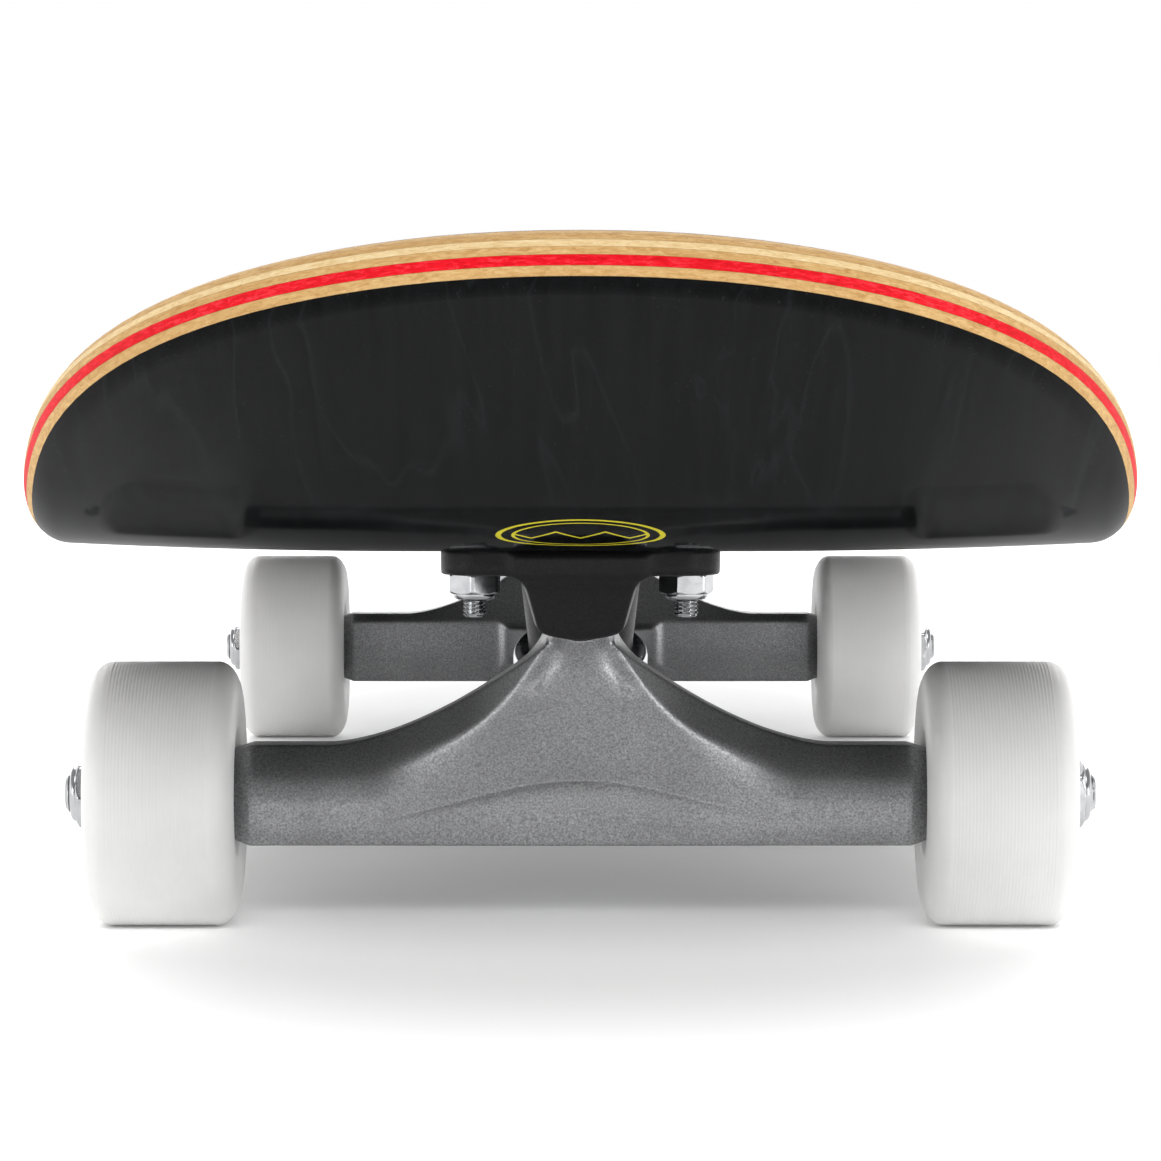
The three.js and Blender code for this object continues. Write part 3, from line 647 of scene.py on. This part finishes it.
def make_deck():
    """Seven veneers and the grip tape. The bottom one has more levels where its rim rounds under."""
    for number, (name, look, slot, node) in enumerate(VENEERS):
        levels = list(np.linspace(PLY_TOPS[number], PLY_TOPS[number + 1], 6))
        across = HIDDEN_ACROSS
        if number == 0:
            levels = [PLY_TOPS[1] * (k / 8) ** 1.6 for k in range(9)]
            across = SEEN_ACROSS
        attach(make_layer(name, levels, across, look, slot, node), "board")
    levels = list(np.linspace(PLY_TOPS[-1], THICKNESS, 6))
    grip = make_layer("grip_sheet", levels, SEEN_ACROSS, "grip", "grip_tape", "grip_tape")
    drill(grip)
    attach(grip, "board")


def bolt_places():
    """Each mounting bolt's name and place."""
    for end in ("front", "rear"):
        for row, which in ((-1, "outer"), (1, "inner")):
            for side, hand in ((-1, "left"), (1, "right")):
                y = AXLE_AT[end] + INWARD[end] * (BOLT_CENTRE + row * BOLT_HALF)
                yield f"{end}_{which}_{hand}", side * BOLT_X, y


def drill(sheet):
    """Cuts the bolt holes through the grip tape."""
    top = UNDERSIDE + THICKNESS
    radius, reach = 4.75, 5
    plug = [(0, top - reach), (radius, top - reach), (radius, top + reach), (0, top + reach)]
    points, faces = turned(plug, 48)
    points, faces = joined(*[(points + np.array([x, y, 0]), faces) for _, x, y in bolt_places()])
    mesh = bpy.data.meshes.new("holes")
    mesh.from_pydata((points * MM).tolist(), [], faces)
    clean(mesh)
    cutter = in_scene("holes", mesh)
    boolean = sheet.modifiers.new("holes", "BOOLEAN")
    boolean.object = cutter
    boolean.operation = "DIFFERENCE"
    boolean.solver = "EXACT"
    result = bpy.data.meshes.new_from_object(sheet.evaluated_get(bpy.context.evaluated_depsgraph_get()))
    sheet.modifiers.clear()
    sheet.data = result
    bpy.data.objects.remove(cutter)


# ---- Mounting hardware ----


def bolt_shape(shank_end, head_top):
    """A flat-head bolt with a cross recess and a threaded end."""
    head_radius, sides = 4.55, 96
    slot_half, slot_reach, slot_depth = 0.62, 2.5, 1.5
    thread_top = shank_end + 9
    rings = np.linspace(0, 1, 22)
    points = []
    for turn in (np.arange(sides) + 0.5) * 2 * math.pi / sides:
        cos, sin = math.cos(turn), math.sin(turn)
        for share in rings:
            x, y = head_radius * share * cos, head_radius * share * sin
            slim, long = min(abs(x), abs(y)), max(abs(x), abs(y))
            inside = min((slot_half - slim) / 0.35, (slot_reach - long) / 1.1, 1.0)
            edge = 0.15 * max(share - 0.93, 0) / 0.07
            points.append((x, y, head_top - slot_depth * max(inside, 0) - edge))
        for radius, height in ((BOLT_RADIUS, head_top - 2.5), (BOLT_RADIUS, thread_top), (0, thread_top)):
            points.append((radius * cos, radius * sin, height))
    head = (np.array(points), ring_faces(sides, len(rings) + 3, False))
    return joined(head, threads(BOLT_RADIUS, BOLT_PITCH, shank_end, thread_top))


def make_mounting_hardware():
    """The bolts and their lock nuts, each turned a little more."""
    under = UNDERSIDE - PLATE_THICK - 0.05
    head_top = UNDERSIDE + THICKNESS - 0.12
    bolt = bolt_shape(under - BOLT_NUT_HEIGHT - 3.4, head_top)
    for number, (spot, x, y) in enumerate(bolt_places()):
        at = Matrix.Scale(MM, 4) @ Matrix.Translation((x, y, 0))
        spin = Matrix.Rotation(0.607 + 0.25 * number, 4, "Z")
        down = at @ Matrix.Translation((0, 0, under)) @ FLIPPED @ spin
        add("bolt", f"{spot}_fine", "board", bolt, at @ spin, "chrome", "chromed_steel", spot)
        add_nut("nut", spot, "board", (9.5, BOLT_NUT_HEIGHT, 2.45), down, "chromed_steel")


# ---- Castings ----
# A casting is a distance, below zero inside it, put together from simple ones with soft joins.


def smooth_min(a, b, k):
    """Two bodies joined with a fillet of about k."""
    h = np.clip(0.5 + 0.5 * (b - a) / k, 0, 1)
    return b + (a - b) * h - k * h * (1 - h)


def smooth_max(a, b, k):
    """What two bodies share, with its edge rounded by about k."""
    return -smooth_min(-a, -b, k)


def all_of(k, *distances):
    result = distances[0]
    for other in distances[1:]:
        result = smooth_max(result, other, k)
    return result


def ease(t):
    """0 below 0, 1 above 1 and a smooth step between."""
    t = np.clip(t, 0, 1)
    return t * t * (3 - 2 * t)


def on_axis(origin, direction, x, y, z):
    """Radius from a line in the YZ plane, and the place along it."""
    dy, dz = y - origin[1], z - origin[2]
    place = dy * direction[1] + dz * direction[2]
    sideways = dy * direction[2] - dz * direction[1]
    return np.sqrt(x * x + sideways * sideways), place


def plane(y, z, through, to):
    """Distance outside a plane along X through two (y, z) points, with the body on its left."""
    (y0, z0), (y1, z1) = through, to
    size = np.hypot(y1 - y0, z1 - z0)
    return ((y - y0) * (z1 - z0) - (z - z0) * (y1 - y0)) / size


def hanger_distance(x, y, z):
    """The hanger, in its truck's frame."""
    ax = np.abs(x)
    end_taper = 1.5 * np.clip((ax - 65.9) / 4.3, 0, 1)
    body = all_of(0.5, hanger_beam(ax, y, z) + end_taper, ax - ARM_END)
    nr, nt = on_axis(PIVOT, STEER_OUT, x, y, z)
    body = smooth_min(body, neck_distance(nr, nt), 4.5) + flutes(ax, y, z)
    body = smooth_min(body, yoke_distance(x, y, z), 3.0)
    body = smooth_min(body, nose_distance(nr, nt), 0.8)
    kr, kt = on_axis(RING, KINGPIN_UP, x, y, z)
    body = smooth_max(body, RING_BORE - kr, 0.5)
    body = smooth_max(body, -bushing_seats(kr, kt), 0.4)
    hollow = np.sqrt((x / 1.9) ** 2 + (y - 2) ** 2 + ((z + 13) / 1.1) ** 2) - 8.0
    body = smooth_max(body, -hollow * 0.7, 1.2)
    return smooth_max(body, AXLE_BORE - np.sqrt(y * y + z * z), 0.3)


def hanger_beam(ax, y, z):
    """The arms and the web between them, one section that changes along the axle."""
    rise = np.clip((50.3 - ax) / 43.6, 0, 1) ** 1.65
    crown = ARM_TOP + WEB_RISE * rise
    steepness = 1 / np.sqrt(1 + (0.8 * rise**0.4) ** 2)
    across = np.clip((46 - ax) / 46, 0, 1)
    edge = crown - 4.2 - 9.6 * across * (1 - across)
    off_neck = 0.02 * np.clip(23 - ax, 0, None) ** 2
    band = ((web_front(ax, edge) - y) + (z - edge)) / math.sqrt(2) - off_neck
    front = smooth_max((web_front(ax, z) - y) * 0.96, band, 1.1)
    arm_side, fold = 9.7, 0.6
    slope = plane(y, z, (9.6, 8.0), (6.2 - 4.6 * rise, crown))
    wall = plane(y, z, (arm_side, fold), (arm_side, 8.0))
    under = plane(y, z, (8.2, HANGER_FOOT), (arm_side, fold))
    return all_of(0.45, (z - crown) * steepness, front, slope, wall, under, HANGER_FOOT - z)


def web_front(ax, z):
    """The outer face: a low panel below an arched crease, and a face folded along a ridge."""
    web = ease((44 - ax) / 34)
    step = ease((54 - ax) / 20)
    arch = -5.7 + 9.2 * ease((52 - ax) / 52)
    ridge = -1.2 + 21 * np.clip((44 - ax) / 30, 0, 1) ** 1.7
    below = np.clip(arch - z, 0, None)
    crease = -9.85 + 0.55 * step
    valley = step * (0.55 + 0.4 * web) * (1 - np.exp(-below / 2.2))
    low = crease - valley + 1.35 * (below / (arch - HANGER_FOOT)) ** 1.5
    middle = crease - (0.08 + 0.22 * web) * (np.minimum(z, ridge) - arch)
    above = np.clip(z - ridge, 0, None)
    high = above * (0.1 - 0.36 * web) + 0.03 * (1 - web) * above**2
    return np.where(z < arch, low, middle + high)


def neck_distance(nr, nt):
    """The cone that runs from the web to the nose."""
    top, foot = -9.3, -34
    radius = 6.4 + 0.06 * np.clip(-9.5 - nt, 0, 20)
    return all_of(0.7, nr - radius, nt - top, foot - nt)


def flutes(ax, y, z):
    """How deep the shallow grooves beside the neck are."""
    corners = ((4.4, 32.0), (6.0, 27.5), (9.4, 22.0))
    nearest = np.inf
    for (x0, z0), (x1, z1) in zip(corners, corners[1:]):
        run_x, run_z = x1 - x0, z1 - z0
        share = np.clip(((ax - x0) * run_x + (z - z0) * run_z) / (run_x**2 + run_z**2), 0, 1)
        off_x, off_z = ax - x0 - share * run_x, z - z0 - share * run_z
        nearest = np.minimum(nearest, np.sqrt(off_x**2 + off_z**2))
    fading = ease((-6 - y) / 4) * ease((33 - z) / 4) * ease((z - 20) / 5)
    return 1.1 * fading * np.exp(-((nearest / 1.7) ** 2))


def nose_distance(nr, nt):
    """The round-ended nose that turns in the pivot cup."""
    rounded = np.where(nt > 0, np.sqrt(nr * nr + np.clip(nt, 0, None) ** 2), nr)
    return all_of(0.3, rounded - 3.9, -12 - nt)


def yoke_distance(x, y, z):
    """The ring round the kingpin, and the two arms that carry it."""
    kr, kt = on_axis(RING, KINGPIN_UP, x, y, z)
    ring = all_of(0.9, kr - RING_RADIUS, np.abs(kt) - RING_HALF)
    start = 4
    ahead = np.clip((y - start) / 26, 0, 1)
    width = 24 - 10.5 * ahead
    thick = 5.6 - 2.0 * ahead
    middle = 0.2 - 0.5 * ahead + (y - start) * 0.14
    arms = all_of(1.2, np.abs(x) - width, np.abs(z - middle) - thick, y - 30, -y)
    return smooth_min(ring, arms, 2.0)


def bushing_seats(kr, kt):
    """The room above and below the ring for the bushings."""
    radius, near, far = 13.0, 3.0, 24
    return np.maximum(kr - radius, np.maximum(near - np.abs(kt), np.abs(kt) - far))


def plate_distance(x, y, z):
    """A baseplate, in its truck's frame."""
    ax = np.abs(x)
    nr, nt = on_axis(PIVOT, STEER_OUT, x, y, z)
    kr, kt = on_axis(RING, KINGPIN_UP, x, y, z)
    from_bolt = np.sqrt((ax - BOLT_X) ** 2 + (np.abs(y - BOLT_CENTRE) - BOLT_HALF) ** 2)
    boss_end = UPPER_END + CUP_THICK + 0.05
    boss = all_of(0.8, kr - (10.75 + 0.1 * np.clip(kt - 22, 0, 20)), boss_end - kt, kt - 42)
    rib = all_of(0.8, ax - 3.2, 42.6 - z + 0.35 * np.abs(y + 4), np.abs(y + 3) - 14)
    pads = all_of(0.5, from_bolt - 6.6, PLATE_UNDER - 0.35 - z)
    body = smooth_min(plate_sheet(ax, y, z), pivot_housing(ax, y, z, nr, nt), 3.6)
    for other, fillet in ((boss, 4.0), (rib, 2.5), (pads, 0.6)):
        body = smooth_min(body, other, fillet)
    body = smooth_max(body, z - PLATE_TOP, 0.5)
    pivot_pocket = np.maximum(np.maximum(nr - 5.85, nt - 5.5), -12 - nt)
    kingpin_hole = np.maximum(kr - 4.85, 10 - kt)
    head_pocket = np.maximum(kr - 7.4, 36 - kt)
    for hole in (from_bolt - 2.75, pivot_pocket, kingpin_hole, head_pocket):
        body = smooth_max(body, -hole, 0.35)
    return body


def plate_sheet(ax, y, z):
    """The plate under the deck, with round corners."""
    px = np.clip(ax - (PLATE_HALF_WIDTH - PLATE_CORNER), 0, None)
    py = np.clip(np.abs(y - PLATE_MIDDLE) - (PLATE_HALF_LENGTH - PLATE_CORNER), 0, None)
    return smooth_max(np.sqrt(px * px + py * py) - PLATE_CORNER, PLATE_UNDER - z, 1.8)


def pivot_housing(ax, y, z, nr, nt):
    """The tapered block that holds the pivot cup, and the collar round it."""
    mouth = -6.8
    front = plane(y, z, (-37.6, 44.2), (-33.0, 32.2))
    side = ax - (7.6 + 0.27 * (z - 32.5) + 0.05 * np.clip(y + 34, 0, 30))
    block = all_of(1.2, front, side * 0.95, mouth - nt, 33.0 + 0.022 * ax**2 - z, z - 49)
    collar = all_of(0.8, nr - 7.7, nt - 6.0, mouth - nt)
    return smooth_min(block, collar, 1.5)


def surface_net(field):
    """Points, in steps of the field's grid, and quads of the surface where a field is zero."""
    shape = np.array(field.shape)
    sums = np.zeros((*(shape - 1), 3), np.float32)
    counts = np.zeros(shape - 1, np.uint8)
    rings = []
    for axis in range(3):
        one, two = [slice(None)] * 3, [slice(None)] * 3
        one[axis], two[axis] = slice(0, -1), slice(1, None)
        a, b = field[tuple(one)], field[tuple(two)]
        spots = np.argwhere((a < 0) != (b < 0))
        value_a, value_b = a[tuple(spots.T)], b[tuple(spots.T)]
        crossing = spots.astype(float)
        crossing[:, axis] += value_a / (value_a - value_b)
        others = [k for k in range(3) if k != axis]
        inner = np.all((spots[:, others] > 0) & (spots[:, others] < shape[others] - 1), axis=1)
        spots, crossing, solid_first = spots[inner], crossing[inner], value_a[inner] < 0
        ring = []
        for first, second in ((1, 1), (0, 1), (0, 0), (1, 0)):
            cell = spots.copy()
            cell[:, others[0]] -= first
            cell[:, others[1]] -= second
            index = tuple(cell.T)
            np.add.at(sums, index, crossing)
            np.add.at(counts, index, 1)
            ring.append(np.ravel_multi_index(index, counts.shape))
        ring = np.stack(ring, 1)
        flip = solid_first if axis != 1 else ~solid_first
        ring[flip] = ring[flip][:, ::-1]
        rings.append(ring)
    used, quads = np.unique(np.concatenate(rings), return_inverse=True)
    cells = np.unravel_index(used, counts.shape)
    return sums[cells] / counts[cells][:, None], quads.reshape(-1, 4)


def drawn_on(points, distance, reach):
    """Points moved down a distance's slope, at most a reach at a time, onto its zero."""
    probe = 0.05
    for _ in range(3):
        here = distance(*points.T)
        shifts = [distance(*(points + probe * np.eye(3)[k]).T) for k in range(3)]
        slope = np.stack([(shift - here) / probe for shift in shifts], 1)
        size = np.clip((slope**2).sum(1), 0.2, None)
        move = slope * (here / size)[:, None]
        length = np.linalg.norm(move, axis=1)
        points -= move * np.minimum(1, reach / np.clip(length, 1e-9, None))[:, None]
    return points


def cast(distance, low, high):
    """Points and quads of the surface where a distance is zero."""
    cell = 0.6
    axes = [np.arange(a, b + cell, cell) for a, b in zip(low, high)]
    x, y, z = np.meshgrid(*axes, indexing="ij", sparse=True)
    field = distance(x, y, z) + np.zeros([len(axis) for axis in axes])
    steps, quads = surface_net(field)
    points = (steps * cell + np.array(low)).astype(float)
    return drawn_on(points, distance, 0.5 * cell), quads


# ---- Trucks ----


def make_truck(end):
    place = truck_matrix(end)
    kingpin = place @ along(KINGPIN_UP, RING)
    plate, hanger = CASTINGS["plate"], CASTINGS["hanger"]
    paint = "black_painted_baseplate"
    add(end, "baseplate_casting", "board", plate, place, "plate", paint, "baseplate", 50)
    add(end, "hanger_casting", f"{end}_truck", hanger, place, "hanger", "cast_hanger", "hanger", 50)
    make_kingpin(end, kingpin)
    make_bushings(end, kingpin)
    make_pivot_cup(end, place @ along(STEER_OUT, PIVOT))
    make_axle(end, place)


def make_kingpin(end, place):
    """The kingpin, with its head in the baseplate, and its lock nut."""
    shank_end, head_start, tip = -14, 36.05, -23.7
    pin = [(0, shank_end), (KINGPIN_RADIUS, shank_end), (KINGPIN_RADIUS, head_start), (0, head_start)]
    head = shaped(*hexagon(13.6, 5.6, 1.0, head_start))
    thread = threads(KINGPIN_RADIUS, KINGPIN_PITCH, tip, shank_end + 1)
    shape = joined(turned(softened(pin, 0.3)), head, thread)
    add(end, "kingpin_fine", "board", shape, place, "steel", "steel", "kingpin")
    nut_face = LOWER_END - CUP_THICK - 0.05
    nut_place = place @ Matrix.Translation((0, 0, nut_face)) @ FLIPPED
    add_nut(end, "kingpin_nut", "board", (14.29, 7.2, 4.82), nut_place, "steel")


def make_bushings(end, place):
    """The two cup washers, and the two bushings."""
    cups = (("upper", UPPER_END + CUP_THICK, 1), ("lower", LOWER_END - CUP_THICK, -1))
    for name, flat, down in cups:
        shape = cup_washer(flat, down)
        node = f"{name}_washer"
        add(end, f"{node}_fine", "board", shape, place, "plated", "chromed_steel", node)
    for name, seat, far in (("upper", SEAT_END, UPPER_END), ("lower", -SEAT_END, LOWER_END)):
        node = f"{end}_{name}_bushing"
        shape = bushing_shape(seat, far)
        thing = piece(f"{node}_fine", *shape, place, "bushing", "bushing_urethane", node)
        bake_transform(thing)


def cup_washer(flat, down):
    """A pressed washer whose skirt runs down, or up where down is -1, round a bushing."""
    skirt = [(12.4, 0), (13.5, 0.5), (13.8, 1.6), (13.8, 4), (12.7, 4), (12.6, 2.2), (12.0, 1.35)]
    section = [(4.85, 0), *skirt, (4.85, 1.35)]
    return turned(softened([(r, flat - down * d) for r, d in section], 0.5))


def bushing_shape(seat, far):
    """A urethane bushing with a slight barrel and a moulded groove."""
    length = far - seat
    outer = []
    for k in range(25):
        t = k / 24
        bulge = 0.35 * math.sin(math.pi * t)
        edge = 0.9 * max(0, 1 - min(t, 1 - t) / 0.08) ** 2
        groove = 0.3 * math.exp(-(((t - 0.5) / 0.035) ** 2))
        outer.append((11.9 + bulge - edge - groove, seat + t * length))
    inner = [(4.9, far - t / 12 * length) for t in range(13)]
    return turned(outer + inner, 64)


def make_pivot_cup(end, place):
    """The cup that the hanger's nose turns in, with a lip round its mouth."""
    bowl = [(4.1 * math.sin(a), 4.1 * math.cos(a)) for a in np.linspace(0, math.pi / 2, 12)]
    lip = [(4.1, -5.6), (4.5, -7.2), (6.4, -7.4), (6.4, -6.2), (5.8, -6.0), (5.8, 5.4), (0, 5.4)]
    add(end, "pivot_cup_fine", "board", turned(bowl + lip), place, "cup", "pivot_urethane", "pivot_cup")


def make_axle(end, place):
    """The axle's rod, and a cut thread at either end."""
    moving, half = f"{end}_truck", 96
    rod = [(0, -half), (AXLE_RADIUS, -half), (AXLE_RADIUS, half), (0, half)]
    right, left = place @ along((1, 0, 0)), place @ along((-1, 0, 0))
    add(end, "axle_fine", moving, turned(rod, 64), right, "steel", "steel", "axle")
    for hand, outwards in (("right", right), ("left", left)):
        tip = outwards @ Matrix.Translation((0, 0, AXLE_TIP)) @ FLIPPED
        thread = threads(AXLE_RADIUS, AXLE_PITCH, 0, THREAD_LENGTH)
        add(end, f"axle_thread_{hand}", moving, thread, tip, "steel", "steel")


# ---- Wheels ----


def wheel_place(end, side):
    """The place of a wheel, with +Z outwards."""
    at = Vector((side * WHEEL_X, AXLE_AT[end], AXLE_HEIGHT)) * MM
    return Matrix.Translation(at) @ along((side, 0, 0)) @ Matrix.Scale(MM, 4)


def wheel_section():
    """A wheel's section: a lathed tread, round shoulders, bulging sides and bearing seats."""
    pitch, depth, tread = 0.68, 0.045, 10.4
    grooves = []
    for k in range(int(2 * tread / pitch * 4) + 1):
        cut = depth * (0.5 - 0.5 * math.cos(math.pi / 2 * (k % 4)))
        grooves.append((WHEEL_RADIUS - cut, -tread + k * pitch / 4))
    return grooves + wheel_side(tread, 1) + wheel_side(tread, -1)[::-1]


def wheel_side(tread, sign):
    """One side of the section, from the tread's edge to the middle of the bore."""
    corner = 20
    points = []
    for turn in np.linspace(0, math.pi / 2, 14)[1:]:
        out = tread + (WHEEL_HALF - tread) * math.sin(turn) ** 0.96
        points.append((corner + (WHEEL_RADIUS - corner) * math.cos(turn), sign * out))
    for radius in (18, 16, 14.2, 13.0):
        points.append((radius, sign * (WHEEL_HALF - 0.012 * (corner - radius) ** 2)))
    seat = [(12.5, 14.1), (12.1, 13.7), (11.2, 13.3), (11.05, 13.0), (11.05, 5), (9.5, 5)]
    return points + [(radius, sign * out) for radius, out in seat]


def make_wheel(end, side, hand):
    """A wheel, its bearings, and what stays on the axle inside and outside it."""
    group, fixed, spinning = f"{end}_{hand}", f"{end}_truck", f"{end}_{hand}_wheel_assembly"
    place = wheel_place(end, side)
    tyre = turned(wheel_section(), 160)
    add(group, "wheel_fine", spinning, tyre, place, "urethane", "white_urethane", "wheel", 60)
    make_bearing(group, "outboard", place, spinning, fixed)
    make_bearing(group, "inboard", place @ FLIPPED, spinning, fixed)
    tube = [(4.05, -4.95), (5.1, -4.95), (5.1, 4.95), (4.05, 4.95)]
    spacer = turned(softened(tube, 0.2), 48)
    add(group, "bearing_spacer", fixed, spacer, place, "steel", "steel", "bearing_sleeve")
    seated = Matrix.Translation((0, 0, 13)) @ Matrix.Rotation(0.3 * side + 0.2, 4, "Z")
    add_nut(group, "axle_nut", fixed, (12.7, 6, 4.0), place @ seated, "chromed_steel")


def make_bearing(group, name, facing, spinning, fixed):
    """A bearing's rings and shield, and the speed washer outside it."""
    outer = [(9.5, 5.05), (10.95, 5.05), (10.95, 11.95), (9.7, 11.95), (9.6, 11.5), (9.5, 11.5)]
    shield = [(6.5, 11.0), (6.5, 11.35), (7.0, 11.55), (9.0, 11.55), (9.25, 11.3)]
    shield += [(9.55, 11.3), (9.55, 11.0)]
    inner = [(4.02, 5.05), (6.1, 5.05), (6.1, 11.95), (4.3, 11.95), (4.02, 11.7)]
    washer = [(4.05, 12.0), (6.9, 12.0), (6.9, 12.95), (4.05, 12.95)]
    node = f"bearing_{name}"
    rings = joined(turned(softened(outer, 0.25)), turned(softened(shield, 0.15)))
    add(group, f"{node}_fine", spinning, rings, facing, "shield", "steel", node)
    add(group, f"{node}_inner", fixed, turned(softened(inner, 0.25)), facing, "steel", "steel")
    flat = turned(softened(washer, 0.2))
    add(group, f"speed_washer_{name}", fixed, flat, facing, "chrome", "steel")


# ---- Studio ----


def make_studio():
    floor = make_floor()
    make_sky()
    sun("key", 1.2, 36, 26)
    sun("back", 1.5, 50, -52)
    wash = sun("wash", 2.5, 24, 60)
    lit = bpy.data.collections.new("stage")
    lit.objects.link(floor)
    wash.light_linking.receiver_collection = lit
    soft_light("front", (0.5, -2.6, 0.75), (0, -0.2, 0.05), 1.0, 3)
    soft_light("left", (-1.3, -1.3, 0.24), (0, 0, 0.03), 0.7, 5)
    soft_light("right", (1.3, -1.3, 0.24), (0, 0, 0.03), 0.7, 7)


def make_floor():
    """A white floor that looks a little brighter to the camera than it is lit."""
    reach = 12.0
    corners = [(-reach, -reach, 0), (reach, -reach, 0), (reach, reach, 0), (-reach, reach, 0)]
    mesh = bpy.data.meshes.new("floor")
    mesh.from_pydata(corners, [], [(0, 1, 2, 3)])
    look = Look("studio_floor", (0.93, 0.93, 0.93), 0.6, Specular_IOR_Level=0.2)
    seen = look.add("LightPath").outputs["Is Camera Ray"]
    glow = look.math("MULTIPLY", seen, 0.13)
    look.set(look.shader, {"Emission Color": (1, 1, 1), "Emission Strength": glow})
    mesh.materials.append(look.material)
    return in_scene("floor", mesh)


def make_sky():
    """A studio bright at the horizon, grey above and dim behind the camera, which sees plain white."""
    world = bpy.data.worlds.new("studio")
    world.use_nodes = True
    sky = Nodes(world.node_tree)
    toward = sky.add("SeparateXYZ", {0: sky.add("TexCoord").outputs["Generated"]}).outputs
    height = sky.ramp(toward["Z"], (0.16, (1, 1, 1)), (0.45, (0.25, 0.25, 0.25)))
    behind = sky.grade(toward["Y"], -0.95, -0.5, 0.12, 1.0)
    shade = sky.add("VectorMath", {0: height, "Scale": behind}, operation="SCALE")
    studio = sky.add("Background", {"Color": shade.outputs[0], "Strength": 1.7})
    backdrop = sky.tree.nodes["Background"]
    sky.set(backdrop, {"Color": (1, 1, 1)})
    seen = sky.add("LightPath").outputs["Is Camera Ray"]
    mix = sky.add("MixShader", {"Fac": seen, 1: studio.outputs[0], 2: backdrop.outputs[0]})
    sky.set(sky.tree.nodes["World Output"], {"Surface": mix.outputs[0]})
    bpy.context.scene.world = world


def sun(name, energy, softness, lean):
    """A sun with a soft disc, leant from overhead about the X axis."""
    data = bpy.data.lights.new(name, "SUN")
    data.energy = energy
    data.angle = math.radians(softness)
    lamp = in_scene(name, data)
    lamp.rotation_euler = (math.radians(lean), 0, 0)
    return lamp


def soft_light(name, place, target, size, power):
    data = bpy.data.lights.new(name, "AREA")
    data.shape = "SQUARE"
    data.size = size
    data.energy = power
    lamp = in_scene(name, data)
    lamp.location = place
    lamp.rotation_euler = (Vector(target) - Vector(place)).to_track_quat("-Z", "Y").to_euler()


def make_camera():
    """A long lens, low and straight ahead of the nose."""
    distance, height, tilt = 0.9288, 0.1207, math.radians(3.17)
    data = bpy.data.cameras.new("camera")
    data.lens = 144
    data.sensor_width = 36
    camera = in_scene("camera", data)
    camera.location = (0, AXLE_AT["front"] * MM - distance, height)
    camera.rotation_euler = (math.pi / 2 - tilt, 0, 0)
    bpy.context.scene.camera = camera


CASTINGS = {
    "plate": cast(plate_distance, (-29, -42, 22), (29, 44, 53)),
    "hanger": cast(hanger_distance, (-72, -34, -18), (72, 50, 48)),
}
make_deck()
make_mounting_hardware()
for end in ("front", "rear"):
    make_truck(end)
    for side, hand in ((-1, "left"), (1, "right")):
        make_wheel(end, side, hand)
make_studio()
make_camera()
bpy.context.scene.view_settings.view_transform = "Standard"
